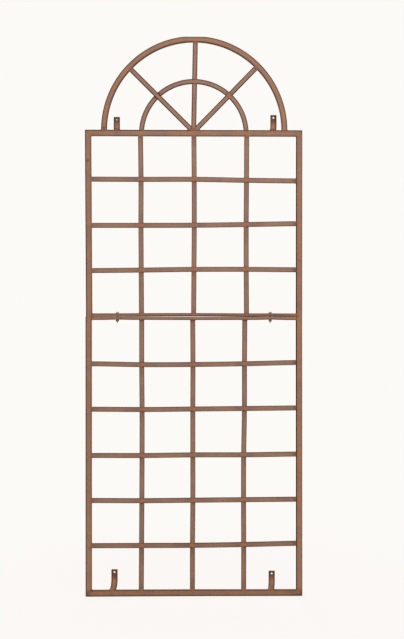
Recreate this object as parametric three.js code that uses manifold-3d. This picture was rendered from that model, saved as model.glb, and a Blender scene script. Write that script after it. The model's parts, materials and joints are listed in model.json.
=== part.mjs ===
// Metal plant trellis: two welded lattice panels bolted together, the upper one with an arched head.
// Millimetres, +Z up. The front faces -Y, the wall is towards +Y, and the origin is the middle of
// the underside of the bottom rail.

import * as THREE from 'three';
import { mergeVertices } from 'three/addons/utils/BufferGeometryUtils.js';
import Module from 'manifold-3d';

const wasm = await Module();
wasm.setup();

// Overall sizes
const frameWidth = 700;
const lowerPanelHeight = 900;
const upperPanelHeight = 600;
const archOuterRadius = 300;
const archSideShift = 1.5;

// Rectangular tube of the frame: its broad face looks forward, except on the mating rails
const tubeFace = 20;
const tubeDepth = 10;
const tubeWall = 1.5;
const tubeCornerRadius = 2;

// Flat bar of the lattice, the inner arch and the spokes
const barFace = 16;
const barThickness = 4;

// Where the lattice bars stand, as shares of the clear width or height inside the frame.
// Each pair holds the two ends of one bar: foot and head, or left and right.
const lowerUprightShares = [[0.247, 0.247], [0.494, 0.496], [0.743, 0.747]];
const upperUprightShares = [[0.245, 0.242], [0.501, 0.502], [0.757, 0.757]];
const lowerCrossbarShares = [[0.163, 0.169], [0.33, 0.334], [0.497, 0.501], [0.667, 0.672], [0.833, 0.838]];
const upperCrossbarShares = [[0.243, 0.25], [0.494, 0.505], [0.759, 0.751]];

// Arched head: the inner arch has its centre below the top edge of the frame, and the spokes radiate
// from a hub in the upper half of the top rail
const innerArchOuterRadius = 176.5;
const innerArchCentreDrop = 12;
const hubDrop = 5.5;
const hubSideShift = -0.8;
const centreSpokeLean = THREE.MathUtils.degToRad(1.1);
const leftSpoke = { angle: THREE.MathUtils.degToRad(135.2), frontOfArch: true };
const centreSpoke = { angle: Math.PI / 2 - centreSpokeLean, frontOfArch: false };
const rightSpoke = { angle: THREE.MathUtils.degToRad(45.8), frontOfArch: false };

// Wall tabs: a strip along the rail's top face, bent up to a plate with a screw hole
const tabWidth = 20;
const tabThickness = 3;
const tabRise = 52;
const tabStandOff = 28;
const tabBendRadius = 25;
const tabCornerRadius = 1.5;
const tabHoleDiameter = 6;
const tabHoleDrop = 9;

// The lower tabs are set in from the outside of the frame, and the upper ones from the inside of the arch
const lowerLeftTabInset = 89;
const lowerRightTabInset = 101;
const upperLeftTabArchGap = 21;
const upperRightTabArchGap = 16.5;

// Each tab is bent by hand: its rise is a share of tabRise, and it drifts sideways by a share of its
// reach behind the frame
const tabRiseShares = { bottom_left: 1.11, bottom_right: 0.99, top_left: 0.935, top_right: 1.085 };
const tabDriftShares = { bottom_left: 0.1, bottom_right: 0.15, top_left: -0.09, top_right: 0.14 };

// Bolts and nuts that hold the two panels together
const boltInset = 104;
const boltDiameter = 6;
const boltLength = 30;
const boltHeadHeight = 4;
const boltPointChamfer = 0.8;
const hexAcrossFlats = 10;
const nutHeight = 5;
const hexChamferShare = 0.93;
const hexChamferAngle = THREE.MathUtils.degToRad(30);
const leftHexTurn = THREE.MathUtils.degToRad(8);
const rightHexTurn = THREE.MathUtils.degToRad(22);

// Clearances
const weldGap = 0.3;
const seamGap = 0.3;
const boltHoleClearance = 0.3;
const nutThreadClearance = 0.25;
const cutOverrun = 6;

// Facets
const ringSegments = 120;
const roundSegments = 24;
const cornerDivisions = 1;
const bendDivisions = 6;

// Derived planes shared by mating pieces
const outerHalfWidth = frameWidth / 2;
const innerHalfWidth = outerHalfWidth - tubeFace;
const matingRailHeight = tubeDepth;
const barFront = -barThickness / 2;
const barBack = barThickness / 2;
const lapFront = -weldGap / 2;
const lapBack = weldGap / 2;

const finishes = {
  coatedSteel: new THREE.MeshStandardMaterial({ color: 0x966d54, roughness: 0.68, metalness: 0.35 }),
  darkSteel: new THREE.MeshStandardMaterial({ color: 0x5c5650, roughness: 0.5, metalness: 0.8 }),
};

// Solids

function solidFrom(geometry) {
  geometry.deleteAttribute('normal');
  geometry.deleteAttribute('uv');
  const merged = mergeVertices(geometry);
  const vertProperties = Float32Array.from(merged.attributes.position.array);
  const triVerts = Uint32Array.from(merged.index.array);
  return new wasm.Manifold(new wasm.Mesh({ numProp: 3, vertProperties, triVerts }));
}

function geometryFrom(solid) {
  const { vertProperties, triVerts } = solid.getMesh();
  const geometry = new THREE.BufferGeometry();
  geometry.setAttribute('position', new THREE.BufferAttribute(vertProperties, 3));
  geometry.setIndex(new THREE.BufferAttribute(triVerts, 1));
  geometry.computeVertexNormals();
  return geometry;
}

function namedMesh(name, solid, finish = finishes.coatedSteel) {
  const mesh = new THREE.Mesh(geometryFrom(solid), finish);
  mesh.name = name;
  return mesh;
}

function block(low, high) {
  const size = high.clone().sub(low);
  const geometry = new THREE.BoxGeometry(size.x, size.y, size.z);
  geometry.translate((low.x + high.x) / 2, (low.y + high.y) / 2, (low.z + high.z) / 2);
  return solidFrom(geometry);
}

// A flat piece with its outline in the plane of the trellis, between two depths
function plate(outline, front, back) {
  const shape = outline instanceof THREE.Shape ? outline : new THREE.Shape(outline);
  const settings = { depth: back - front, bevelEnabled: false, curveSegments: bendDivisions };
  const geometry = new THREE.ExtrudeGeometry(shape, settings);
  geometry.rotateX(Math.PI / 2);
  geometry.translate(0, back, 0);
  return solidFrom(geometry);
}

function roundedRectangle(width, height, radius) {
  const x = width / 2;
  const y = height / 2;
  const shape = new THREE.Shape();
  shape.moveTo(radius - x, -y);
  shape.lineTo(x - radius, -y);
  shape.absarc(x - radius, radius - y, radius, -Math.PI / 2, 0, false);
  shape.lineTo(x, y - radius);
  shape.absarc(x - radius, y - radius, radius, 0, Math.PI / 2, false);
  shape.lineTo(radius - x, y);
  shape.absarc(radius - x, y - radius, radius, Math.PI / 2, Math.PI, false);
  shape.lineTo(-x, radius - y);
  shape.absarc(radius - x, radius - y, radius, Math.PI, 1.5 * Math.PI, false);
  return shape;
}

// Rectangular tube

function tubeSection(width, height) {
  const section = roundedRectangle(width, height, tubeCornerRadius);
  const boreRadius = tubeCornerRadius - tubeWall;
  section.holes.push(roundedRectangle(width - 2 * tubeWall, height - 2 * tubeWall, boreRadius));
  return section;
}

// A tube along +Z from zero. A mitred end slopes at 45 degrees from the outer side, which is the
// side of the section at +X where outerSide is 1 and at -X where it is -1.
function tube(length, width, height, outerSide = 1, footMitred = false, headMitred = false) {
  const settings = { depth: length, bevelEnabled: false, curveSegments: cornerDivisions };
  const geometry = new THREE.ExtrudeGeometry(tubeSection(width, height), settings);
  const points = geometry.attributes.position;
  const setBack = weldGap / Math.SQRT2;
  for (let i = 0; i < points.count; i += 1) {
    const cut = width / 2 - outerSide * points.getX(i) + setBack;
    const atFoot = points.getZ(i) < length / 2;
    if (atFoot && footMitred) points.setZ(i, cut);
    if (!atFoot && headMitred) points.setZ(i, length - cut);
  }
  return geometry;
}

function stile(name, side, foot, head, footMitred, headMitred) {
  const geometry = tube(head - foot, tubeFace, tubeDepth, side, footMitred, headMitred);
  const mesh = namedMesh(name, solidFrom(geometry));
  mesh.position.set(side * (outerHalfWidth - tubeFace / 2), 0, foot);
  return mesh;
}

function mitredRail(name, outerSide, middleHeight) {
  const geometry = tube(frameWidth, tubeFace, tubeDepth, outerSide, true, true);
  geometry.rotateY(Math.PI / 2);
  const mesh = namedMesh(name, solidFrom(geometry));
  mesh.position.set(-outerHalfWidth, 0, middleHeight);
  return mesh;
}

function uprightDrill(radius, x, low, high) {
  const geometry = new THREE.CylinderGeometry(radius, radius, high - low, roundSegments);
  geometry.rotateX(Math.PI / 2);
  geometry.translate(x, 0, (low + high) / 2);
  return solidFrom(geometry);
}

function matingRail(name, underside) {
  const halfLength = innerHalfWidth - weldGap;
  const geometry = tube(2 * halfLength, matingRailHeight, tubeFace);
  geometry.rotateY(Math.PI / 2);
  geometry.translate(-halfLength, 0, matingRailHeight / 2);
  const holeRadius = boltDiameter / 2 + boltHoleClearance;
  let solid = solidFrom(geometry);
  for (const side of [-1, 1]) {
    const x = side * (outerHalfWidth - boltInset);
    solid = solid.subtract(uprightDrill(holeRadius, x, -cutOverrun, matingRailHeight + cutOverrun));
  }
  const mesh = namedMesh(name, solid);
  mesh.position.z = underside;
  return mesh;
}

// Lattice of half-lapped flat bars

function shareOfWidth(share) {
  return THREE.MathUtils.lerp(-innerHalfWidth, innerHalfWidth, share);
}

function uprightOutline(panel, shares, face) {
  const [footX, headX] = shares.map(shareOfWidth);
  return [
    new THREE.Vector2(footX - face / 2, panel.clearFoot + weldGap),
    new THREE.Vector2(footX + face / 2, panel.clearFoot + weldGap),
    new THREE.Vector2(headX + face / 2, panel.clearHead - weldGap),
    new THREE.Vector2(headX - face / 2, panel.clearHead - weldGap),
  ];
}

function crossbarOutline(panel, shares, face) {
  const end = innerHalfWidth - weldGap;
  const height = (share) => THREE.MathUtils.lerp(panel.clearFoot, panel.clearHead, share);
  const [leftZ, rightZ] = shares.map(height);
  return [
    new THREE.Vector2(-end, leftZ - face / 2),
    new THREE.Vector2(end, rightZ - face / 2),
    new THREE.Vector2(end, rightZ + face / 2),
    new THREE.Vector2(-end, leftZ + face / 2),
  ];
}

// An upright loses its front half where each crossbar passes
function upright(panel, shares) {
  let solid = plate(uprightOutline(panel, shares, barFace), barFront, barBack);
  for (const crossing of panel.crossbarShares) {
    const lap = crossbarOutline(panel, crossing, barFace + 2 * weldGap);
    solid = solid.subtract(plate(lap, barFront - cutOverrun, lapBack));
  }
  return solid;
}

// A crossbar loses its back half where each upright passes
function crossbar(panel, shares) {
  let solid = plate(crossbarOutline(panel, shares, barFace), barFront, barBack);
  for (const crossing of panel.uprightShares) {
    const lap = uprightOutline(panel, crossing, barFace + 2 * weldGap);
    solid = solid.subtract(plate(lap, lapFront, barBack + cutOverrun));
  }
  return solid;
}

function lattice(panel) {
  const group = new THREE.Group();
  panel.uprightShares.forEach((shares, index) => {
    group.add(namedMesh(`${panel.name}_upright_${index + 1}`, upright(panel, shares)));
  });
  panel.crossbarShares.forEach((shares, index) => {
    group.add(namedMesh(`${panel.name}_crossbar_${index + 1}`, crossbar(panel, shares)));
  });
  return group;
}

// Arched head, with its centre line at x = 0 and the top edge of the frame at z = 0

function ring(outerRadius, face, depth, cornerRadius) {
  const outline = roundedRectangle(face, depth, cornerRadius).getPoints(cornerDivisions);
  const profile = outline.map((point) => new THREE.Vector2(outerRadius - face / 2 + point.x, point.y));
  if (!profile[0].equals(profile[profile.length - 1])) profile.push(profile[0].clone());
  return solidFrom(new THREE.LatheGeometry(profile, ringSegments));
}

function flatRing(outerRadius, face, front, back) {
  const profile = [
    new THREE.Vector2(outerRadius - face, front),
    new THREE.Vector2(outerRadius, front),
    new THREE.Vector2(outerRadius, back),
    new THREE.Vector2(outerRadius - face, back),
    new THREE.Vector2(outerRadius - face, front),
  ];
  return solidFrom(new THREE.LatheGeometry(profile, ringSegments));
}

function aboveRail() {
  const reach = archOuterRadius + cutOverrun;
  return block(new THREE.Vector3(-reach, -reach, weldGap), new THREE.Vector3(reach, reach, reach));
}

function outerArch() {
  const skin = ring(archOuterRadius, tubeFace, tubeDepth, tubeCornerRadius);
  const boreFace = tubeFace - 2 * tubeWall;
  const boreDepth = tubeDepth - 2 * tubeWall;
  const bore = ring(archOuterRadius - tubeWall, boreFace, boreDepth, tubeCornerRadius - tubeWall);
  return skin.subtract(bore).translate([archSideShift, 0, 0]).intersect(aboveRail());
}

function innerArchBand(face, front, back) {
  const outerRadius = innerArchOuterRadius - barFace / 2 + face / 2;
  return flatRing(outerRadius, face, front, back).translate([0, 0, -innerArchCentreDrop]);
}

function spokeBand(angle, face, front, back) {
  const along = new THREE.Vector2(Math.cos(angle), Math.sin(angle));
  const across = new THREE.Vector2(-along.y, along.x).multiplyScalar(face / 2);
  const hub = new THREE.Vector2(hubSideShift, -hubDrop);
  const foot = hub.clone().addScaledVector(along, -face);
  const tip = hub.clone().addScaledVector(along, archOuterRadius);
  const outline = [
    foot.clone().sub(across),
    tip.clone().sub(across),
    tip.clone().add(across),
    foot.clone().add(across),
  ];
  return plate(outline, front, back);
}

// Where the inner arch and a spoke cross, each loses the half that the other one keeps
function innerArch() {
  let solid = innerArchBand(barFace, barFront, barBack).intersect(aboveRail());
  for (const { angle, frontOfArch } of [leftSpoke, centreSpoke, rightSpoke]) {
    const front = frontOfArch ? barFront - cutOverrun : lapFront;
    const back = frontOfArch ? lapBack : barBack + cutOverrun;
    solid = solid.subtract(spokeBand(angle, barFace + 2 * weldGap, front, back));
  }
  return solid;
}

// A spoke runs from the top rail to the inside of the outer arch
function spoke({ angle, frontOfArch }) {
  const archInside = new THREE.CylinderGeometry(
    archOuterRadius - tubeFace - weldGap,
    archOuterRadius - tubeFace - weldGap,
    barThickness + cutOverrun,
    ringSegments,
  );
  archInside.translate(archSideShift, 0, 0);
  const front = frontOfArch ? lapFront : barFront - cutOverrun;
  const back = frontOfArch ? barBack + cutOverrun : lapBack;
  return spokeBand(angle, barFace, barFront, barBack)
    .intersect(aboveRail())
    .intersect(solidFrom(archInside))
    .subtract(innerArchBand(barFace + 2 * weldGap, front, back));
}

// The side spokes end against the foot of the centre spoke
function archedHead() {
  const head = new THREE.Group();
  const reach = barThickness + cutOverrun;
  const centreFoot = spokeBand(centreSpoke.angle, barFace + 2 * weldGap, -reach, reach);
  head.add(namedMesh('outer_arch', outerArch()));
  head.add(namedMesh('inner_arch', innerArch()));
  head.add(namedMesh('left_spoke', spoke(leftSpoke).subtract(centreFoot)));
  head.add(namedMesh('centre_spoke', spoke(centreSpoke)));
  head.add(namedMesh('right_spoke', spoke(rightSpoke).subtract(centreFoot)));
  head.position.z = upperPanelHeight;
  return head;
}

// Wall tab, standing on a rail's top face at z = 0

function tabProfile(rise) {
  const footFront = -tubeDepth / 2;
  const wallFace = tubeDepth / 2 + tabStandOff;
  const bendCentre = wallFace - tabBendRadius;
  const insideRadius = tabBendRadius - tabThickness;
  const shape = new THREE.Shape();
  shape.moveTo(footFront, 0);
  shape.lineTo(bendCentre, 0);
  shape.absarc(bendCentre, tabBendRadius, tabBendRadius, -Math.PI / 2, 0, false);
  shape.lineTo(wallFace, rise);
  shape.lineTo(wallFace - tabThickness, rise);
  shape.lineTo(wallFace - tabThickness, tabBendRadius);
  shape.absarc(bendCentre, tabBendRadius, insideRadius, 0, -Math.PI / 2, true);
  shape.lineTo(footFront, tabThickness);
  return shape;
}

function tabFrontOutline(rise) {
  const x = tabWidth / 2;
  const shape = new THREE.Shape();
  shape.moveTo(-x, -cutOverrun);
  shape.lineTo(x, -cutOverrun);
  shape.lineTo(x, rise - tabCornerRadius);
  shape.absarc(x - tabCornerRadius, rise - tabCornerRadius, tabCornerRadius, 0, Math.PI / 2, false);
  shape.lineTo(tabCornerRadius - x, rise);
  shape.absarc(tabCornerRadius - x, rise - tabCornerRadius, tabCornerRadius, Math.PI / 2, Math.PI, false);
  const hole = new THREE.Path();
  hole.absarc(0, rise - tabHoleDrop, tabHoleDiameter / 2, 0, 2 * Math.PI, true);
  shape.holes.push(hole);
  return shape;
}

function wallTab(rise, driftShare) {
  const settings = { depth: tabWidth, bevelEnabled: false, curveSegments: bendDivisions };
  const strip = new THREE.ExtrudeGeometry(tabProfile(rise), settings);
  strip.translate(0, 0, -tabWidth / 2);
  const axes = [new THREE.Vector3(0, 1, 0), new THREE.Vector3(0, 0, 1), new THREE.Vector3(1, 0, 0)];
  strip.applyMatrix4(new THREE.Matrix4().makeBasis(...axes));
  const reach = tubeDepth + tabStandOff + cutOverrun;
  const trimmed = solidFrom(strip).intersect(plate(tabFrontOutline(rise), -reach, reach));
  const drifted = geometryFrom(trimmed);
  drifted.applyMatrix4(new THREE.Matrix4().makeShear(0, 0, driftShare, 0, 0, 0));
  return solidFrom(drifted);
}

function wallTabs(railTop, places) {
  const group = new THREE.Group();
  for (const [corner, x] of Object.entries(places)) {
    const solid = wallTab(tabRise * tabRiseShares[corner], tabDriftShares[corner]);
    const mesh = namedMesh(`${corner}_wall_tab`, solid);
    mesh.position.x = x;
    group.add(mesh);
  }
  group.position.z = railTop + weldGap;
  return group;
}

function lowerTabPlaces() {
  return {
    bottom_left: lowerLeftTabInset - outerHalfWidth,
    bottom_right: outerHalfWidth - lowerRightTabInset,
  };
}

function upperTabPlaces() {
  const archInside = archOuterRadius - tubeFace;
  return {
    top_left: archSideShift - archInside + upperLeftTabArchGap + tabWidth / 2,
    top_right: archSideShift + archInside - upperRightTabArchGap - tabWidth / 2,
  };
}

// Bolts and nuts, about the Z axis

function turned(profile) {
  const geometry = new THREE.LatheGeometry(profile, roundSegments);
  geometry.rotateX(Math.PI / 2);
  return solidFrom(geometry);
}

// A hexagon between two heights. Its corners are chamfered on the sides that ask for it.
function hexagon(low, high, chamferLow, chamferHigh) {
  const cornerRadius = hexAcrossFlats / Math.sqrt(3);
  const geometry = new THREE.CylinderGeometry(cornerRadius, cornerRadius, high - low, 6);
  geometry.rotateX(Math.PI / 2);
  geometry.translate(0, 0, (low + high) / 2);
  const outside = 2 * cornerRadius - hexAcrossFlats / 2;
  const faceRadius = (hexAcrossFlats / 2) * hexChamferShare;
  const drop = (outside - faceRadius) * Math.tan(hexChamferAngle);
  const envelope = turned([
    new THREE.Vector2(0, low),
    new THREE.Vector2(chamferLow ? faceRadius : outside - drop, low),
    new THREE.Vector2(outside, chamferLow ? low + drop : low),
    new THREE.Vector2(outside, chamferHigh ? high - drop : high),
    new THREE.Vector2(chamferHigh ? faceRadius : outside - drop, high),
    new THREE.Vector2(0, high),
  ]);
  return solidFrom(geometry).intersect(envelope);
}

// The underside of the head is at z = 0
function bolt() {
  const radius = boltDiameter / 2;
  const shank = turned([
    new THREE.Vector2(0, -boltLength),
    new THREE.Vector2(radius - boltPointChamfer, -boltLength),
    new THREE.Vector2(radius, boltPointChamfer - boltLength),
    new THREE.Vector2(radius, boltHeadHeight / 2),
    new THREE.Vector2(0, boltHeadHeight / 2),
  ]);
  return hexagon(0, boltHeadHeight, false, true).add(shank);
}

// The top face is at z = 0
function nut() {
  const bore = boltDiameter / 2 + nutThreadClearance;
  const drill = uprightDrill(bore, 0, -nutHeight - cutOverrun, cutOverrun);
  return hexagon(-nutHeight, 0, true, true).subtract(drill);
}

function fasteners(sideName, side, turn) {
  const group = new THREE.Group();
  const head = namedMesh(`bolt_${sideName}`, bolt(), finishes.darkSteel);
  const under = namedMesh(`nut_${sideName}`, nut(), finishes.darkSteel);
  head.position.z = seamGap + matingRailHeight + weldGap;
  head.rotation.z = turn;
  under.position.z = -matingRailHeight - weldGap;
  under.rotation.z = -turn;
  group.add(head, under);
  group.position.set(side * (outerHalfWidth - boltInset), 0, lowerPanelHeight);
  return group;
}

// Panels

function lowerPanel() {
  const group = new THREE.Group();
  const panel = {
    name: 'lower',
    clearFoot: tubeFace,
    clearHead: lowerPanelHeight - matingRailHeight,
    uprightShares: lowerUprightShares,
    crossbarShares: lowerCrossbarShares,
  };
  group.add(stile('lower_left_stile', -1, 0, lowerPanelHeight, true, false));
  group.add(stile('lower_right_stile', 1, 0, lowerPanelHeight, true, false));
  group.add(mitredRail('bottom_rail', 1, tubeFace / 2));
  group.add(matingRail('lower_mating_rail', panel.clearHead));
  group.add(lattice(panel));
  group.add(wallTabs(tubeFace, lowerTabPlaces()));
  return group;
}

function upperPanel() {
  const group = new THREE.Group();
  const panel = {
    name: 'upper',
    clearFoot: seamGap + matingRailHeight,
    clearHead: upperPanelHeight - tubeFace,
    uprightShares: upperUprightShares,
    crossbarShares: upperCrossbarShares,
  };
  group.add(stile('upper_left_stile', -1, seamGap, upperPanelHeight, false, true));
  group.add(stile('upper_right_stile', 1, seamGap, upperPanelHeight, false, true));
  group.add(mitredRail('top_rail', -1, upperPanelHeight - tubeFace / 2));
  group.add(matingRail('upper_mating_rail', seamGap));
  group.add(lattice(panel));
  group.add(archedHead());
  group.add(wallTabs(upperPanelHeight, upperTabPlaces()));
  group.position.z = lowerPanelHeight;
  return group;
}

const trellis = new THREE.Group();
trellis.name = 'plant_trellis';
trellis.add(lowerPanel());
trellis.add(upperPanel());
trellis.add(fasteners('left', -1, leftHexTurn));
trellis.add(fasteners('right', 1, rightHexTurn));

export default trellis;
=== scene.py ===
# %% [markdown]
# # A metal plant trellis
#
# The real thing is a flat garden trellis of welded mild steel with a rust-brown coat. Rectangular tube
# makes the frame, flat bar makes the lattice, and a half-round head like a fanlight crowns it. Two bolts
# hold an upper and a lower panel together, and four bent strips hold it off a wall.
#
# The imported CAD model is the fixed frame. Every piece made here stands in the place of one CAD node and
# adds what the plain solid leaves out: rolled edges, bars that were never quite straight, weld beads,
# screw threads and the finish. Tables are in millimetres, and MM turns them into metres.

# %% Load the frame
import json
import math
import random

import bmesh
import bpy
import numpy as np
from mathutils import Matrix, Vector


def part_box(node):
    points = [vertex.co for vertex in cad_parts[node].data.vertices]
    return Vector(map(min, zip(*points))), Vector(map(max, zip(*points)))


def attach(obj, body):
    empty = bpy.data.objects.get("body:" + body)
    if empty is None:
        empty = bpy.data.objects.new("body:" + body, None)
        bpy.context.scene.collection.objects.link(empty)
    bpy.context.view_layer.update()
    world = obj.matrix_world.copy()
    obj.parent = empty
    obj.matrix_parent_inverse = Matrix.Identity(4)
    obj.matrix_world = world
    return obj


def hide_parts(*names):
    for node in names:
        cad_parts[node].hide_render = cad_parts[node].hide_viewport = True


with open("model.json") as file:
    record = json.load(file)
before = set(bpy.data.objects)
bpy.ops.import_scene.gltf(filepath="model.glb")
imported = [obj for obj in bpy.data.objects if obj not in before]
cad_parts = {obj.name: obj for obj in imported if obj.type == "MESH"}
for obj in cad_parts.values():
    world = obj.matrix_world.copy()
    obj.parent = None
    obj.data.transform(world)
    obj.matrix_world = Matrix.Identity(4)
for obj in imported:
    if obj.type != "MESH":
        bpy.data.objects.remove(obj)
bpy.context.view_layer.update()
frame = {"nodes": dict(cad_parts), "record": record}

MM = 0.001
BODY_OF = {node: body for body, nodes in frame["record"]["behaviour"]["bodies"].items() for node in nodes}
scene = bpy.context.scene

# %% [markdown]
# ## Camera
#
# The photograph looks at the trellis almost square on, at half its height. Its rails draw together a
# little towards the right, so the camera stands a fraction of a degree to the left of square. The lens
# and the distance were found by laying a plain render over the photograph until rails and stiles met.

# %% Place the camera
PHOTO_YAW = math.radians(0.77)
CAMERA_SIDE = 0.0262
CAMERA_DISTANCE = 2.9
CAMERA_HEIGHT = 0.8904
LENS = 50.74


def linked(name, data):
    """A new object at the origin that carries the data"""
    thing = bpy.data.objects.new(name, data)
    scene.collection.objects.link(thing)
    return thing


camera_data = bpy.data.cameras.new("photo_camera")
camera_data.lens = LENS
camera = linked("photo_camera", camera_data)
camera.location = (
    CAMERA_SIDE * math.cos(PHOTO_YAW) - CAMERA_DISTANCE * math.sin(PHOTO_YAW),
    -CAMERA_DISTANCE * math.cos(PHOTO_YAW) - CAMERA_SIDE * math.sin(PHOTO_YAW),
    CAMERA_HEIGHT,
)
camera.rotation_euler = (math.pi / 2, 0, -PHOTO_YAW)
scene.camera = camera
print("camera at", [round(value, 3) for value in camera.location])

# %% [markdown]
# ## Small helpers for every node tree
#
# Colours are written as sRGB hex, the way a colour card gives them, and one function turns them into the
# linear values that shaders use. Another adds a node, sets it up and links it. The rest stand on that one
# for the steps that come up most, so that a material reads like a recipe.

# %% Colour and node helpers
def linear(hex_code):
    """sRGB hex to the linear colour that a shader socket takes"""
    channels = [int(hex_code[i:i + 2], 16) / 255 for i in (1, 3, 5)]
    curved = [c / 12.92 if c <= 0.04045 else ((c + 0.055) / 1.055) ** 2.4 for c in channels]
    return (*curved, 1.0)


def add(tree, kind, inputs=None, **settings):
    """A node with its settings, and its inputs set to values or linked to sockets"""
    node = tree.nodes.new(kind)
    for name, value in settings.items():
        setattr(node, name, value)
    for name, value in (inputs or {}).items():
        if isinstance(value, bpy.types.NodeSocket):
            tree.links.new(value, node.inputs[name])
        else:
            node.inputs[name].default_value = value
    return node


def maths(tree, operation, *values, clamp=False):
    """One step of arithmetic on numbers or sockets"""
    inputs = dict(enumerate(values))
    return add(tree, "ShaderNodeMath", inputs, operation=operation, use_clamp=clamp).outputs[0]


def mixed(tree, share, one, other):
    """A colour between two others, each of them a socket or sRGB hex"""
    one, other = [linear(colour) if isinstance(colour, str) else colour for colour in (one, other)]
    return add(tree, "ShaderNodeMix", {0: share, 6: one, 7: other}, data_type="RGBA").outputs[2]


def ranged(tree, value, low, high, start=0.0, end=1.0):
    """A value carried from the range low to high into the range start to end, and held inside it"""
    return add(tree, "ShaderNodeMapRange", {"Value": value, "From Min": low, "From Max": high,
                                            "To Min": start, "To Max": end}).outputs[0]


def noise(tree, place, size, detail, inputs=None, **settings):
    """Noise with features of about a size in metres: its scale is one over that size"""
    inputs = {"Vector": place, "Scale": 1 / size, "Detail": detail, **(inputs or {})}
    return add(tree, "ShaderNodeTexNoise", inputs, **settings).outputs[0]


def attribute(tree, name):
    """A number that the mesh carries at each vertex"""
    return add(tree, "ShaderNodeAttribute", attribute_name=name).outputs["Fac"]


def seen_straight(tree):
    """1 for rays from the camera, off a mirror or through glass, and 0 for the light on the steel"""
    rays = add(tree, "ShaderNodeLightPath").outputs
    seen = maths(tree, "MAXIMUM", rays["Is Camera Ray"], rays["Is Glossy Ray"])
    return maths(tree, "MAXIMUM", seen, rays["Is Transmission Ray"])


def empty_material(name):
    """A new material, its cleared node tree and the place on the object"""
    material = bpy.data.materials.new(name)
    material.use_nodes = True
    material.node_tree.nodes.clear()
    return material, material.node_tree, add(material.node_tree, "ShaderNodeTexCoord").outputs["Object"]


print("rust brown in linear light", [round(c, 3) for c in linear("#9A6F57")])

# %% [markdown]
# ## Light, world and floor
#
# The photograph is a bright studio picture: one wide soft light from above and to the right of the camera,
# a weaker one from the left, and a pale ground that runs into a pale background. A third lamp behind lights
# the back for whoever walks round. The lamps light the steel at a plain level, where a colour renders about
# as it is written. The near-white background is the colour of the world as the camera and glossy rays see
# it, and the floor fades out into it. The world lights the steel itself only weakly, which opens up the
# undersides.

# %% Light the studio
def soft_lamp(name, place, target, width, height, watts, tint):
    """A softbox of a width and height in metres, turned to its target"""
    data = bpy.data.lights.new(name, "AREA")
    data.shape = "RECTANGLE"
    data.size = width
    data.size_y = height
    data.energy = watts
    data.color = linear(tint)[:3]
    lamp = linked(name, data)
    lamp.location = place
    lamp.rotation_euler = (Vector(target) - Vector(place)).to_track_quat("-Z", "Y").to_euler()


soft_lamp("key_softbox", (1.0, -2.9, 2.6), (0, 0, 1.05), 2.0, 1.2, 69, "#FFFBF6")
soft_lamp("fill_softbox", (-2.2, -2.6, 1.1), (0, 0, 0.95), 1.2, 1.6, 12, "#F8F9FF")
soft_lamp("back_softbox", (-0.8, 3.0, 2.6), (0, 0, 1.0), 2.4, 1.4, 60, "#FFFFFF")

scene.view_settings.view_transform = "Standard"
world = bpy.data.worlds.new("pale_studio")
world.use_nodes = True
scene.world = world
tree = world.node_tree
tree.nodes.clear()
room = add(tree, "ShaderNodeBackground", {"Color": linear("#F7F6F4"), "Strength": 0.3})
paper = add(tree, "ShaderNodeBackground", {"Color": linear("#FCFAF7"), "Strength": 1.0})
either = add(tree, "ShaderNodeMixShader", {0: seen_straight(tree), 1: room.outputs[0], 2: paper.outputs[0]})
add(tree, "ShaderNodeOutputWorld", {"Surface": either.outputs[0]})

# %% Lay the floor
# In metres. The floor starts to fade at the first distance from the middle and is gone at the second.
FLOOR_SIZE = 6.0
FLOOR_GAP = 0.0006
FADE_START, FADE_END = 0.5, 1.25


def pale_floor_material():
    """Matt studio paper. It catches a faint shadow and fades out into the background."""
    material, tree, place = empty_material("matt_studio_paper")
    tint = mixed(tree, noise(tree, place, 1 / 3, 3.0), "#F7F4F0", "#FBFAF8")
    paper = add(tree, "ShaderNodeBsdfDiffuse", {"Color": tint})
    glow = add(tree, "ShaderNodeEmission", {"Color": linear("#FEFBF8"), "Strength": 1.0})
    share = maths(tree, "MULTIPLY", seen_straight(tree), 0.9)
    lit = add(tree, "ShaderNodeMixShader", {0: share, 1: paper.outputs[0], 2: glow.outputs[0]})
    reach = add(tree, "ShaderNodeVectorMath", {0: place}, operation="LENGTH").outputs["Value"]
    fade = add(tree, "ShaderNodeMapRange", {"Value": reach, "From Min": FADE_START, "From Max": FADE_END},
               interpolation_type="SMOOTHSTEP")
    clear = add(tree, "ShaderNodeBsdfTransparent")
    blend = add(tree, "ShaderNodeMixShader", {0: fade.outputs[0], 1: lit.outputs[0], 2: clear.outputs[0]})
    add(tree, "ShaderNodeOutputMaterial", {"Surface": blend.outputs[0]})
    return material


sheet = bmesh.new()
bmesh.ops.create_grid(sheet, x_segments=2, y_segments=2, size=FLOOR_SIZE / 2)
floor_mesh = bpy.data.meshes.new("studio_floor")
sheet.to_mesh(floor_mesh)
sheet.free()
floor_mesh.transform(Matrix.Translation((0, 0, -FLOOR_GAP)))
floor_mesh.materials.append(pale_floor_material())
floor = linked("studio_floor", floor_mesh)
print("floor", floor.dimensions[:])
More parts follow.
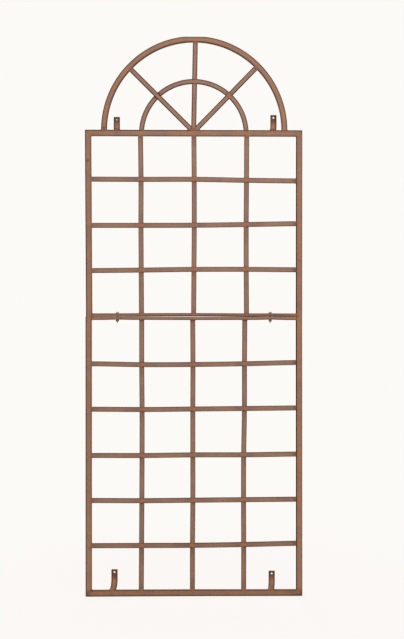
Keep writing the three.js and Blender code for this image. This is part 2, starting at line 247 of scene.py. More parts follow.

# %% [markdown]
# ## The rust-brown coat
#
# The steel was sprayed with a matt powder coat that imitates rust. Up close it is a warm brown with a
# mottle of orange, olive and purple patches some 30 mm across, and a fine grain of about a millimetre
# from the powder. Along every rolled arris the coat is painted darker, as painted shade of edges turning
# from the light. Over the welds, where heat and grinding worked the steel, it is more orange, with
# small dark burns beside the beads and a spot of painted shadow just under each crossing.
#
# The patches could be painted into an image, but noise on object coordinates never repeats or stretches.
# What follows the shape (arris, heat, burns, shade) comes from attributes that each mesh carries, so the
# pattern knows where the welds are.

# %% Rust-brown coated steel
def coated_steel(name, base_stops, grain_strength):
    """Matt rust-effect powder coat on mild steel. A rough dielectric film: no metal shows through."""
    material, tree, place = empty_material(name)
    # Patches about 30 mm across
    patches = noise(tree, place, 0.034, 5.0, {"Roughness": 0.62, "Distortion": 0.6})
    base = add(tree, "ShaderNodeValToRGB", {"Fac": patches})
    stops = base.color_ramp.elements
    stops[0].position, stops[0].color = base_stops[0][0], linear(base_stops[0][1])
    stops[1].position, stops[1].color = base_stops[-1][0], linear(base_stops[-1][1])
    for position, colour in base_stops[1:-1]:
        stops.new(position).color = linear(colour)
    # Broad drift from bar to bar, about 200 mm
    drift = ranged(tree, noise(tree, place, 0.2, 2.0), 0.38, 0.62, end=0.45)
    colour = mixed(tree, drift, base.outputs[0], "#A0785F")
    # Mauve clouds, about 60 mm, where the coat cured cooler
    mauve = noise(tree, place, 0.06, 2.0, {"W": 4.0}, noise_dimensions="4D")
    colour = mixed(tree, ranged(tree, mauve, 0.5, 0.66, end=0.5), colour, "#8F6866")
    # Powder grain of a millimetre or two: dark pits and a few pale grains
    grain = noise(tree, place, 0.0016, 3.0, {"Roughness": 0.7})
    pits = ranged(tree, grain, 0.55, 0.72, end=0.5 * grain_strength)
    colour = mixed(tree, pits, colour, "#57382B")
    pale = ranged(tree, grain, 0.43, 0.28, end=0.35 * grain_strength)
    colour = mixed(tree, pale, colour, "#BF9175")
    # Heat of the welds: an orange bloom with a broken rim
    heat = attribute(tree, "weld_heat")
    broken = ranged(tree, noise(tree, place, 0.007, 3.0), 0.3, 0.7, 0.55, 1.1)
    bloom = maths(tree, "MULTIPLY", maths(tree, "MULTIPLY", heat, broken), 0.55)
    colour = mixed(tree, bloom, colour, "#AC6B48")
    # Painted shade along the rolled arrises, left off where a weld was ground over
    cool = maths(tree, "SUBTRACT", 1.0, heat, clamp=True)
    arris_shade = maths(tree, "MULTIPLY", attribute(tree, "edge_band"), cool)
    arris_shade = maths(tree, "MULTIPLY", arris_shade, 0.95, clamp=True)
    colour = mixed(tree, arris_shade, colour, "#36221B")
    # Burns, stains and the painted shadow under each crossing, then the shade attribute, most of it painted
    # shade, which has less of the orange
    colour = mixed(tree, attribute(tree, "burn"), colour, "#54281A")
    shade = attribute(tree, "shade")
    colour = mixed(tree, shade, colour, "#4C3826")
    # Roughness wanders with the grain, and the bump is the powder's orange peel, 0.05 mm deep
    rough = ranged(tree, grain, 0.3, 0.7, 0.56, 0.76)
    relief = add(tree, "ShaderNodeBump", {"Height": grain, "Distance": 0.05 * MM, "Strength": 0.7})
    # Where shade or the dark of an arris is painted on, the sheen is turned down too
    sheen = ranged(tree, maths(tree, "MAXIMUM", shade, arris_shade), 0.0, 1.0, 0.33, 0.05)
    shader = add(tree, "ShaderNodeBsdfPrincipled", {"Base Color": colour, "Roughness": rough,
                                                    "Normal": relief.outputs[0], "Metallic": 0.0, "IOR": 1.5,
                                                    "Specular IOR Level": sheen})
    add(tree, "ShaderNodeOutputMaterial", {"Surface": shader.outputs[0]})
    return material


BROWN_STOPS = [(0.30, "#907356"), (0.42, "#9A745A"), (0.52, "#A4775C"), (0.61, "#AE7852"), (0.72, "#936662")]
BAR_STOPS = [(0.30, "#917766"), (0.42, "#9A7965"), (0.52, "#A37B66"), (0.61, "#AB7C60"), (0.72, "#976D68")]
BEAD_STOPS = [(0.35, "#8E6B57"), (0.5, "#996D56"), (0.68, "#876253")]
rust_coat = coated_steel("rust_effect_powder_coat", BROWN_STOPS, 1.0)
bar_coat = coated_steel("rust_effect_coat_on_bars", BAR_STOPS, 1.0)
bead_coat = coated_steel("powder_coat_over_weld", BEAD_STOPS, 0.8)
print("coats", rust_coat.name, bar_coat.name, bead_coat.name)

# %% [markdown]
# ## The plated fasteners
#
# Bolts and nuts are bought ones: zinc-plated steel that has gone dull grey in the weather, with brown
# rust starting at the corners and in the threads. It is a metal, so it keeps the default IOR, and its
# roughness is high enough that it mirrors nothing.

# %% Weathered zinc plate
def weathered_zinc(name, tarnish, bright):
    """Barrel-plated zinc, dulled outdoors: soft grey metal with fine tarnish and rust freckles"""
    material, tree, place = empty_material(name)
    colour = mixed(tree, noise(tree, place, 0.004, 4.0), tarnish, bright)
    spots = noise(tree, place, 0.0022, 5.0, {"Roughness": 0.7})
    colour = mixed(tree, ranged(tree, spots, 0.5, 0.64, end=0.7), colour, "#7A5440")
    dull = ranged(tree, spots, 0.35, 0.65, 0.45, 0.8)
    relief = add(tree, "ShaderNodeBump", {"Height": spots, "Distance": 0.03 * MM, "Strength": 0.6})
    shader = add(tree, "ShaderNodeBsdfPrincipled", {"Base Color": colour, "Roughness": dull,
                                                    "Normal": relief.outputs[0], "Metallic": 0.75})
    add(tree, "ShaderNodeOutputMaterial", {"Surface": shader.outputs[0]})
    return material


zinc_plate = weathered_zinc("weathered_zinc_plate", "#958B80", "#BDB4A9")
# A darker copy of the plate for the nuts, as painted shade: they hang under the rail
zinc_in_painted_shade = weathered_zinc("zinc_plate_in_painted_shade", "#5F5852", "#8E867D")
print("fastener finishes", zinc_plate.name, zinc_in_painted_shade.name)

# %% [markdown]
# ## Sizes shared by the pieces
#
# These repeat the CAD source where a formula needs them. Places of straight pieces are read from the CAD
# nodes themselves, so that each dressed bar stands exactly where its solid stands.

# %% Shared sizes, in millimetres
TUBE_FACE, TUBE_DEPTH, TUBE_WALL, TUBE_RADIUS = 20.0, 10.0, 1.5, 2.0
BAR_FACE, BAR_DEPTH, BAR_RADIUS = 16.0, 4.0, 0.7
# Half of the gap between two lapped bars, and half of a notch's length
LAP_GAP = 0.15
LAP_HALF = BAR_FACE / 2 + 0.3
# Air left where two pieces meet
TOUCH = 0.05
# Half of the width over the stiles, and between them
OUTER_HALF, INNER_HALF = 350.0, 330.0
SEAM = 900.0
RAIL_TOP = 1500.0
RAIL_UNDERSIDE = RAIL_TOP - TUBE_FACE
ARCH_CENTRE = Vector((1.5, RAIL_TOP))
ARCH_RADIUS = 300.0
INNER_CENTRE = Vector((0.0, 1488.0))
INNER_RADIUS = 168.5
HUB = Vector((-0.8, 1494.5))
SPOKE_DEGREES = {"left_spoke": 135.2, "centre_spoke": 88.9, "right_spoke": 45.8}
SPOKES = {name: math.radians(degrees) for name, degrees in SPOKE_DEGREES.items()}


def node_points(node):
    """A CAD node's vertices in millimetres"""
    return np.array([vertex.co for vertex in frame["nodes"][node].data.vertices]) / MM


# Lowest and highest corner of every node, in millimetres
NODE_BOX = {node: [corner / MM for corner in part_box(node)] for node in frame["nodes"]}
# Vertices this close to a bar's end belong to its end face
END_REACH = 0.6


def end_middles(node, axis):
    """Middle of a straight CAD bar at its low and high end along an axis"""
    points = node_points(node)
    middles = []
    for end in (points[:, axis].min(), points[:, axis].max()):
        face = points[np.abs(points[:, axis] - end) < END_REACH]
        middles.append((face.min(axis=0) + face.max(axis=0)) / 2)
    return middles


def through(values, share):
    """A smooth curve through evenly spaced values, at a share from 0 to 1 of its length"""
    spans = len(values) - 1
    at = min(max(share, 0.0), 1.0) * spans
    i = min(int(at), spans - 1)
    t = at - i
    a = values[max(i - 1, 0)]
    b, c = values[i], values[i + 1]
    d = values[min(i + 2, spans)]
    return b + 0.5 * t * (c - a + t * (2 * a - 5 * b + 4 * c - d + t * (3 * (b - c) + d - a)))


print("crossbar 1 ends", [[round(v, 1) for v in end] for end in end_middles("lower_crossbar_1", 0)])

# %% [markdown]
# ## One way to make every rolled section
#
# Tube and flat bar leave the rolling mill as one section carried along a line. So each piece here is a
# ring of section points carried through stations along the piece. A station may be cut off by a function
# of the position across the piece, which gives mitres, bar ends that follow a round arch, and the
# half-laps, where a bar loses half its depth to let the other one through. An extruded curve could make
# the plain run but not these cuts, and cutting with booleans would leave ragged faces.
#
# The ring has a few points on each arris, whose round catches the light as a rolled edge does, and it
# carries the arris attribute that the coat reads.

# %% Section rings
# How far the painted shade of an arris reaches along the flats. On the head it reaches nearly twice as
# far.
ARRIS_FADE, WIDE_FADE = 2.0, 3.6


def arris_band(across, depth, width, height, radius, fade=ARRIS_FADE):
    """1 on the rounded arris of a section, fading to 0 along the flats"""
    from_corner = max(0.0, width / 2 - radius - abs(across)) + max(0.0, height / 2 - radius - abs(depth))
    return max(0.0, 1.0 - from_corner / fade)


def section_ring(width, height, radius, arc_steps):
    """Points (across, depth) round a rectangle with rounded corners, the front at negative depth"""
    x, y = width / 2 - radius, height / 2 - radius
    ring = []
    corners = [(x, -y, -90), (x, y, 0), (-x, y, 90), (-x, -y, 180)]
    for i, (cx, cy, start) in enumerate(corners):
        for step in range(arc_steps + 1):
            angle = math.radians(start + 90 * step / arc_steps)
            ring.append((cx + radius * math.cos(angle), cy + radius * math.sin(angle)))
        nx, ny = corners[(i + 1) % 4][:2]
        turn = math.radians(start + 90)
        leave = Vector((cx + radius * math.cos(turn), cy + radius * math.sin(turn)))
        arrive = Vector((nx + radius * math.cos(turn), ny + radius * math.sin(turn)))
        run = (arrive - leave).length
        # A long flat has points where the dark of the arris ends, a short one only its middle
        if run > 2.2 * ARRIS_FADE:
            near = ARRIS_FADE / run
            shares = (near, 0.3, 0.5, 0.7, 1 - near) if run > 8 else (near, 0.5, 1 - near)
        else:
            shares = (0.5,)
        ring += [tuple(leave.lerp(arrive, share)) for share in shares]
    return ring


BAR_RING = section_ring(BAR_FACE, BAR_DEPTH, BAR_RADIUS, 3)
BAR_BANDS = [arris_band(a, d, BAR_FACE, BAR_DEPTH, BAR_RADIUS) for a, d in BAR_RING]
HEAD_BANDS = [arris_band(a, d, BAR_FACE, BAR_DEPTH, BAR_RADIUS, WIDE_FADE) for a, d in BAR_RING]
TUBE_RING = section_ring(TUBE_FACE, TUBE_DEPTH, TUBE_RADIUS, 5)
TUBE_BANDS = [arris_band(a, d, TUBE_FACE, TUBE_DEPTH, TUBE_RADIUS) for a, d in TUBE_RING]
TUBE_BORE = section_ring(TUBE_FACE - 2 * TUBE_WALL, TUBE_DEPTH - 2 * TUBE_WALL, TUBE_RADIUS - TUBE_WALL, 5)
print("ring points: bar", len(BAR_RING), "tube", len(TUBE_RING), "bore", len(TUBE_BORE))

# %% Stations and cuts along a piece
# Stations stand this far apart, and closer together up to a reach on both sides of a joint
STATION_STEP = 9.0
JOINT_STEP, JOINT_REACH = 1.8, 12.6
# Stations inside a lap, as shares of its length
LAP_SHARES = (0, 0.2, 0.4, 0.6, 0.8, 1)
# Keeps a lap's own cuts inside the full-depth cuts at its two ends when they are sorted
TIE = 1e-7


def stations(start, end, spacing, joints=()):
    """Even stations from start to end, closer together beside each joint"""
    count = max(1, round((end - start) / spacing))
    marks = [start + (end - start) * i / count for i in range(count + 1)]
    marks = [m for m in marks if m in (start, end) or all(abs(m - joint) > JOINT_REACH for joint in joints)]
    steps = int(JOINT_REACH / JOINT_STEP)
    close = [joint + JOINT_STEP * i for joint in joints for i in range(-steps, steps + 1)]
    marks = sorted(marks + [mark for mark in close if start < mark < end])
    # Marks that nearly coincide become one
    return [m for i, m in enumerate(marks) if i == 0 or m - marks[i - 1] > 0.35 * JOINT_STEP]


def cuts_along(half, marks, laps):
    """Every cut of a sweep in order, as its line across the piece and whether it keeps the front half"""
    cuts = []
    spans = [(min(low(-half), low(half)), max(high(-half), high(half))) for low, high, front in laps]
    # Plain stations keep clear of the laps by a small margin
    spans = [(a - 0.004 * (b - a) - 1e-4, b + 0.004 * (b - a) + 1e-4) for a, b in spans]
    for mark in marks:
        if all(mark < a or mark > b for a, b in spans):
            cuts.append((mark, lambda across, mark=mark: mark, None))
    for low, high, front in laps:
        cuts.append((low(0), low, None))
        for share in LAP_SHARES:
            def between(across, low=low, high=high, share=share):
                return low(across) * (1 - share) + high(across) * share
            cuts.append((between(0) + (TIE if share < 1 else -TIE), between, front))
        cuts.append((high(0), high, None))
    return [(along, front) for _, along, front in sorted(cuts, key=lambda cut: cut[0])]


print("stations on 100 mm with a joint in the middle:", len(stations(0, 100, STATION_STEP, [50])))

# %% Carry a section along a piece
MERGE_DISTANCE = 0.002 * MM
SHARP_ANGLE = math.radians(38)


def skin(shape, rows):
    """Faces between each two neighbouring rows of vertices, each row a closed ring"""
    for one, two in zip(rows, rows[1:]):
        for i in range(len(one)):
            k = (i + 1) % len(one)
            shape.faces.new((one[i], one[k], two[k], two[i]))


def sweep(ring, bands, place, marks, first, last, laps=(), bore=None):
    """Carries a ring of (across, depth) points along place(s, across, depth), between two end cuts.

    laps is a list of (low, high, front), functions of across and whether the front half is kept.
    """
    cuts = cuts_along(max(abs(across) for across, depth in ring), marks, laps)
    shape = bmesh.new()
    band_layer = shape.verts.layers.float.new("edge_band")
    loops = []
    for outline in (ring, bore) if bore else (ring,):
        rows = []
        for along, front in cuts:
            row = []
            for (across, depth), band in zip(outline, bands):
                s = min(max(along(across), first(across)), last(across))
                kept = depth if front is None else (min(depth, -LAP_GAP) if front else max(depth, LAP_GAP))
                vertex = shape.verts.new(Vector(place(s, across, kept)) * MM)
                vertex[band_layer] = band if outline is ring else 0.0
                row.append(vertex)
            rows.append(row)
        skin(shape, rows)
        loops.append(rows)
    for end in (0, -1):
        if bore:
            skin(shape, [rows[end] for rows in loops])
        else:
            shape.faces.new(loops[0][end])
    bmesh.ops.remove_doubles(shape, verts=shape.verts, dist=MERGE_DISTANCE)
    bmesh.ops.recalc_face_normals(shape, faces=shape.faces)
    return shape


def finish_mesh(name, shape, sharp=SHARP_ANGLE):
    """A bmesh becomes an object at the origin, smooth but for its sharp edges"""
    mesh = bpy.data.meshes.new(name)
    shape.to_mesh(mesh)
    shape.free()
    mesh.shade_smooth()
    mesh.set_sharp_from_angle(angle=sharp)
    return linked(name, mesh)


made = {}
print("sharp from", round(math.degrees(SHARP_ANGLE)), "degrees, points merged within", MERGE_DISTANCE, "m")

# %% [markdown]
# ## How far the real one is from straight
#
# Thin steel pulls when it is welded, and this trellis was made by hand. The tables say, in millimetres,
# how far each line in the photograph lies from the straight solid: the stiles lean in a little, the
# mating rails spring apart between their bolts, and each lattice bar has its own slight bow. None of it
# is over four millimetres, but ruler-straight bars would look like a drawing.

# %% Leans and bows, in millimetres
# Shift of each stile to the right, at its foot and at its head
STILE_LEAN = {
    "lower_left_stile": (2.3, 2.0),
    "lower_right_stile": (-0.5, -1.2),
    "upper_left_stile": (3.7, 0.05),
    "upper_right_stile": (-1.1, -0.6),
}
# Lift of the face that each mating rail turns to the other, at even steps from left to right. The
# bolts pull it back to nothing. Away from the bolts the tube is also a little fuller than its 10 mm.
RAIL_LIFT = {
    "lower_mating_rail": (-0.6, -0.5, -0.25, -0.6, -0.9, -0.65, -0.6, -0.75, -1.0),
    "upper_mating_rail": (-0.75, -0.65, -0.1, 0.2, 0.15, -0.1, -0.75, -0.9, -1.1),
}
RAIL_FULLER = 0.6
BOLT_X, BOLT_PULL = 246.0, 30.0
# Rise of the bottom rail's lower and upper edge at its left end, quarter, middle, quarter and right end
BOTTOM_RISE = (0.2, 0.4, 0.6, 0.3, 0.0)
BOTTOM_TOP_RISE = (0.9, 1.1, 1.2, 0.7, 0.3)
# Rise of each crossbar at five points from left to right
CROSSBAR_BOW = {
    "lower_crossbar_1": (1.3, 0.1, -1.0, -0.3, 1.8),
    "lower_crossbar_2": (1.3, -0.5, -0.2, 0.1, 0.4),
    "lower_crossbar_3": (0.8, -0.5, 0.4, -0.5, 0.7),
    "lower_crossbar_4": (1.6, -0.6, -0.3, 0.1, 0.6),
    "lower_crossbar_5": (3.3, -0.7, -1.3, -0.1, 2.6),
    "upper_crossbar_1": (-1.1, -0.3, 1.0, 0.3, -1.9),
    "upper_crossbar_2": (1.2, 0.0, -0.9, -0.1, 1.4),
    "upper_crossbar_3": (-1.0, -0.3, 1.3, -0.3, -1.0),
}
# Shift of each upright to the right, at even steps from its foot to its head
UPRIGHT_BOW = {
    "lower_upright_1": (-2.2, -1.2, -0.3, 0.3, 0.4, -0.7, -0.8),
    "lower_upright_2": (-0.6, -0.6, 0.3, 0.0, -0.3, 0.0, -1.0),
    "lower_upright_3": (0.1, -0.2, -1.1, -1.1, 0.8, 0.6, 1.0),
    "upper_upright_1": (-0.2, -0.6, -0.9, -0.2, -1.4),
    "upper_upright_2": (-1.3, -0.5, 0.3, -0.1, -1.1),
    "upper_upright_3": (0.0, -0.9, -1.0, 0.0, 0.5),
}


def bottom_edges(x):
    """Heights of the bottom rail's lower and upper edge"""
    share = (x + OUTER_HALF) / (2 * OUTER_HALF)
    return through(BOTTOM_RISE, share), TUBE_FACE + through(BOTTOM_TOP_RISE, share)


def stile_middle(node, z):
    """x of a stile's centre line at a height"""
    low, high = NODE_BOX[node]
    share = (z - low.z) / (high.z - low.z)
    foot, head = STILE_LEAN[node]
    return (low.x + high.x) / 2 + foot + (head - foot) * share


def inner_face(side, z):
    """x of the inner face of the left (-1) or right (1) stile at a height"""
    panel = "lower" if z < SEAM + 0.1 else "upper"
    node = f"{panel}_{'left' if side < 0 else 'right'}_stile"
    return stile_middle(node, z) - side * TUBE_FACE / 2


def freedom(x):
    """0 at a bolt, which pulls the mating rails together, and 1 away from it"""
    return 1 - math.exp(-((abs(x) - BOLT_X) / BOLT_PULL) ** 2)


def rail_height(x):
    """Height of a mating rail's section, squeezed to the plain 10 mm at the bolts"""
    return TUBE_DEPTH + RAIL_FULLER * freedom(x)


def rail_middle(node, x):
    """Height of a mating rail's centre line, sprung apart but for the bolts"""
    low, high = NODE_BOX[node]
    lift = through(RAIL_LIFT[node], (x + INNER_HALF) / (2 * INNER_HALF)) * freedom(x)
    away = 1 if node.startswith("upper") else -1
    return (low.z + high.z) / 2 + lift + away * (rail_height(x) - TUBE_DEPTH) / 2


print("inner width at the seam", round(inner_face(1, SEAM) - inner_face(-1, SEAM), 1), "mm")

# %% [markdown]
# ## Where the lattice bars run
#
# A bar's line is the straight one of its CAD solid plus its bow. The places where bars meet follow from
# the lines: each crossing is found by going to and fro between the two bars a few times.

# %% Bar lines and their meeting places
def bar_line(node, axis, bow):
    """Height of a crossbar at each x (axis 0), or x of an upright at each height (axis 2)"""
    start, end = end_middles(node, axis)
    other = 2 - axis

    def line(at):
        share = (at - start[axis]) / (end[axis] - start[axis])
        return start[other] + (end[other] - start[other]) * share + through(bow, share)

    return line


CROSSBARS = {node: bar_line(node, 0, bow) for node, bow in CROSSBAR_BOW.items()}
UPRIGHTS = {node: bar_line(node, 2, bow) for node, bow in UPRIGHT_BOW.items()}


def crossing(upright, crossbar):
    """(x, z) where an upright and a crossbar meet, found from any height in a few rounds"""
    x = UPRIGHTS[upright](1000)
    for _ in range(6):
        z = CROSSBARS[crossbar](x)
        x = UPRIGHTS[upright](z)
    return x, z


CROSSINGS = {
    (upright, crossbar): crossing(upright, crossbar)
    for upright in UPRIGHTS for crossbar in CROSSBARS if upright[:5] == crossbar[:5]
}
first_crossing = CROSSINGS["lower_upright_1", "lower_crossbar_1"]
print(len(CROSSINGS), "crossings, such as", [round(v, 1) for v in first_crossing])

# %% [markdown]
# ## Stiles and end rails
#
# The outer frame is 20 by 10 mm rectangular tube with its broad face forward, mitred at the four outer
# corners. At the seam the stiles are cut square, and their open ends show when the upper panel is lifted
# off, so the tube is hollow with a 1.5 mm wall, as the real one is.

# %% Sweep the stiles
# Half of the air in a mitre, measured along the piece
MITRE_GAP = 0.21
# The stiles of the two panels stand closer at the seam than the solids do
SEAM_CLOSER = 0.1


def make_stile(node):
    low, high = NODE_BOX[node]
    foot, head = low.z, high.z
    side = 1 if low.x > 0 else -1
    panel = node[:5]
    joints = [line(side * INNER_HALF) for name, line in CROSSBARS.items() if name.startswith(panel)]
    joints += [foot + TUBE_FACE / 2, head - TUBE_FACE / 2]
    cut = lambda across: MITRE_GAP + TUBE_FACE / 2 - side * across
    if panel == "lower":
        foot, head = bottom_edges(side * OUTER_HALF)[0], head + SEAM_CLOSER
        first, last = lambda across: foot - MITRE_GAP + cut(across), lambda across: head
    else:
        foot -= SEAM_CLOSER
        first, last = lambda across: foot, lambda across: head + MITRE_GAP - cut(across)
    place = lambda s, across, depth: (stile_middle(node, s) + across, depth, s)
    marks = stations(foot, head, STATION_STEP, joints)
    shape = sweep(TUBE_RING, TUBE_BANDS, place, marks, first, last, bore=TUBE_BORE)
    made[node] = finish_mesh(f"{node}_tube", shape)


for node in STILE_LEAN:
    make_stile(node)
print({made[node].name: len(made[node].data.vertices) for node in STILE_LEAN})

# %% Where each upright ends
def outer_end(node):
    """(x, z) where an upright meets the bottom or the top rail"""
    if node.startswith("upper"):
        return UPRIGHTS[node](RAIL_UNDERSIDE), RAIL_UNDERSIDE
    x = UPRIGHTS[node](TUBE_FACE)
    return x, bottom_edges(x)[1]


def seam_end(node):
    """(x, z) where an upright meets its panel's mating rail"""
    way = -1 if node.startswith("lower") else 1
    x = UPRIGHTS[node](SEAM + way * TUBE_DEPTH)
    return x, rail_middle(f"{node[:5]}_mating_rail", x) + way * rail_height(x) / 2


print({node: [round(v, 1) for v in outer_end(node) + seam_end(node)] for node in UPRIGHTS})

# %% Sweep the bottom and top rails
# x of what else stands on these rails: tabs, and on the top one the arches' feet and the hub
BOTTOM_JOINTS = [-260, 249]
TOP_JOINTS = [-288.5, 291.5, -168, 168, -248.5, 257.5, 8]


def make_end_rail(node, panel, outer, joints):
    low, high = NODE_BOX[node]
    middle = (low.z + high.z) / 2
    edge = middle + outer * TUBE_FACE / 2
    left = stile_middle(f"{panel}_left_stile", edge) - TUBE_FACE / 2
    right = stile_middle(f"{panel}_right_stile", edge) + TUBE_FACE / 2
    cut = lambda across: MITRE_GAP + TUBE_FACE / 2 - outer * across

    def place(s, across, depth):
        if node == "top_rail":
            return s, depth, middle + across
        bottom, top = bottom_edges(s)
        return s, depth, bottom + (top - bottom) * (across / TUBE_FACE + 0.5)

    joints = [outer_end(name)[0] for name in UPRIGHTS if name.startswith(panel)] + joints
    marks = stations(left, right, STATION_STEP, joints)
    shape = sweep(TUBE_RING, TUBE_BANDS, place, marks, lambda across: left + cut(across),
                  lambda across: right - cut(across), bore=TUBE_BORE)
    made[node] = finish_mesh(f"{node}_tube", shape)


make_end_rail("bottom_rail", "lower", -1, BOTTOM_JOINTS)
make_end_rail("top_rail", "upper", 1, TOP_JOINTS)
print("bottom rail", [round(v, 4) for v in made["bottom_rail"].dimensions])

# %% [markdown]
# ## Mating rails
#
# Each panel ends at the seam in a rail of the same tube laid on its side, so that it stands 5 mm proud
# of the stiles front and back and gives the bolts a broad seat. The two bolt holes are drilled through
# both walls with a boolean, as a drill would leave them.

# %% A lathe and a drill
LATHE_STEPS = 48


def turned(profile, axis="Z"):
    """A lathe-turned solid from (radius, height) points that start and end on the axis"""
    shape = bmesh.new()
    rows = []
    for radius, height in profile:
        row = []
        for i in range(LATHE_STEPS if radius else 1):
            angle = 2 * math.pi * i / LATHE_STEPS
            point = Vector((radius * math.cos(angle), radius * math.sin(angle), height)) * MM
            row.append(shape.verts.new(point if axis == "Z" else Vector((point.x, point.z, point.y))))
        rows.append(row)
    for one, two in zip(rows, rows[1:]):
        for i in range(LATHE_STEPS):
            k = (i + 1) % LATHE_STEPS
            corners = [one[i % len(one)], one[k % len(one)], two[k % len(two)], two[i % len(two)]]
            shape.faces.new(list(dict.fromkeys(corners)))
    bmesh.ops.recalc_face_normals(shape, faces=shape.faces)
    return shape


def as_cutter(name, shape, place):
    mesh = bpy.data.meshes.new(name)
    shape.to_mesh(mesh)
    shape.free()
    mesh.transform(Matrix.Translation(Vector(place) * MM))
    return linked(name, mesh)


def plain_mesh(piece, modifier):
    """What the modifier makes of the piece as a plain mesh, and takes the modifier off"""
    graph = bpy.context.evaluated_depsgraph_get()
    result = bpy.data.meshes.new_from_object(piece.evaluated_get(graph), preserve_all_data_layers=True,
                                             depsgraph=graph)
    piece.modifiers.remove(modifier)
    return result


def cut_away(piece, cutters):
    """Subtracts each cutter from the piece and leaves a plain mesh"""
    for cutter in cutters:
        modifier = piece.modifiers.new("drill", "BOOLEAN")
        modifier.operation = "DIFFERENCE"
        modifier.solver = "EXACT"
        modifier.object = cutter
        piece.data = plain_mesh(piece, modifier)
        bpy.data.objects.remove(cutter)
    piece.data.name = piece.name
    piece.data.set_sharp_from_angle(angle=SHARP_ANGLE)
    return piece


print("lathe and drill ready,", LATHE_STEPS, "steps round")

# %% Sweep the mating rails and drill them
RAIL_RING = section_ring(TUBE_DEPTH, TUBE_FACE, TUBE_RADIUS, 5)
RAIL_BORE = section_ring(TUBE_DEPTH - 2 * TUBE_WALL, TUBE_FACE - 2 * TUBE_WALL, TUBE_RADIUS - TUBE_WALL, 5)
RAIL_BANDS = [arris_band(a, d, TUBE_DEPTH, TUBE_FACE, TUBE_RADIUS) for a, d in RAIL_RING]
BOLT_HOLE = 6.6
# The drill reaches this far above and below the rail's middle
DRILL_REACH = 9


def make_mating_rail(node):
    low, high = NODE_BOX[node]
    middle = (low.z + high.z) / 2
    left, right = [inner_face(side, middle) for side in (-1, 1)]
    start, end = left + TOUCH, right - TOUCH
    place = lambda s, across, depth: (s, depth, rail_middle(node, s) + across * rail_height(s) / TUBE_DEPTH)
    joints = [line(middle) for name, line in UPRIGHTS.items() if name[:5] == node[:5]]
    marks = stations(start, end, STATION_STEP, joints + [-BOLT_X, BOLT_X, left, right])
    shape = sweep(RAIL_RING, RAIL_BANDS, place, marks, lambda across: start, lambda across: end,
                  bore=RAIL_BORE)
    rail = finish_mesh(f"{node}_tube", shape)
    drill = [(0, -DRILL_REACH), (BOLT_HOLE / 2, -DRILL_REACH), (BOLT_HOLE / 2, DRILL_REACH), (0, DRILL_REACH)]
    holes = [as_cutter("rail_drill", turned(drill), (x, 0, middle)) for x in (-BOLT_X, BOLT_X)]
    made[node] = cut_away(rail, holes)


for node in RAIL_LIFT:
    make_mating_rail(node)
print("drilled", made["lower_mating_rail"].name, len(made["lower_mating_rail"].data.vertices), "vertices")

# %% [markdown]
# ## Lattice bars
#
# Uprights and crossbars are 16 by 4 mm flat bar. Where two cross, each is notched to half its depth and
# they are pressed into one another, so the front stays flush. Crossbars keep their front half and
# uprights their back half. The ends are cut to meet the tube.

# %% Sweep the uprights
def slope_of(line, at):
    """Slope of a bar's line at a station, from 2 mm before it to 2 mm after it"""
    return (line(at + 2) - line(at - 2)) / 4


def lap_round(at, slope, front):
    """A half-lap round a bar that crosses at a station with a slope"""
    low = lambda across: at + across * slope - LAP_HALF
    high = lambda across: at + across * slope + LAP_HALF
    return low, high, front


def sweep_bar(node, start, end, laps, joints, place):
    marks = stations(start, end, STATION_STEP, [start, end] + joints)
    shape = sweep(BAR_RING, BAR_BANDS, place, marks, lambda across: start, lambda across: end, laps)
    made[node] = finish_mesh(f"{node}_bar", shape)


for node, line in UPRIGHTS.items():
    foot, head = sorted((outer_end(node)[1], seam_end(node)[1]))
    crossed = [(bar, x, z) for (upright, bar), (x, z) in CROSSINGS.items() if upright == node]
    laps = [lap_round(z, slope_of(CROSSBARS[bar], x), False) for bar, x, z in crossed]
    place = lambda s, across, depth: (line(s) + across, depth, s - across * slope_of(line, s))
    sweep_bar(node, foot + TOUCH, head - TOUCH, laps, [z for bar, x, z in crossed], place)
print({made[node].name: len(made[node].data.vertices) for node in UPRIGHTS})

# %% Sweep the crossbars
for node, line in CROSSBARS.items():
    left, right = [inner_face(side, line(side * INNER_HALF)) for side in (-1, 1)]
    crossed = [(bar, x, z) for (bar, crossbar), (x, z) in CROSSINGS.items() if crossbar == node]
    laps = [lap_round(x, slope_of(UPRIGHTS[bar], z), True) for bar, x, z in crossed]
    place = lambda s, across, depth: (s - across * slope_of(line, s), depth, line(s) + across)
    sweep_bar(node, left + TOUCH, right - TOUCH, laps, [x for bar, x, z in crossed], place)
print({made[node].name: len(made[node].data.vertices) for node in CROSSBARS})

# %% [markdown]
# ## Outer arch
#
# The head's rim is the frame's tube bent to a half circle. Its shape follows one rule, a section on an
# arc, so Geometry Nodes builds it: an arc of the given radius, a rectangle with filleted corners for the
# tube, and the one carried along the other. The real one came off the bender a millimetre or two too high
# at the crown, so the finished tube is pulled by that much. Its feet stand welded on the top rail.
#
# First come the helpers that this tree shares with those of the thread, the weld pads, the beads and the
# spatter.

# %% Helpers for Geometry Nodes
def new_tree(name, sizes):
    """A geometry tree with named inputs for its sizes, and the sockets of its inputs"""
    group = bpy.data.node_groups.new(name, "GeometryNodeTree")
    group.interface.new_socket("Geometry", in_out="INPUT", socket_type="NodeSocketGeometry")
    for label, value in sizes.items():
        kind = "NodeSocketInt" if isinstance(value, int) else "NodeSocketFloat"
        group.interface.new_socket(label, in_out="INPUT", socket_type=kind).default_value = value
    group.interface.new_socket("Geometry", in_out="OUTPUT", socket_type="NodeSocketGeometry")
    return group, add(group, "NodeGroupInput").outputs


def real(group, geometry):
    """Instances made into plain geometry"""
    return add(group, "GeometryNodeRealizeInstances", {"Geometry": geometry}).outputs[0]


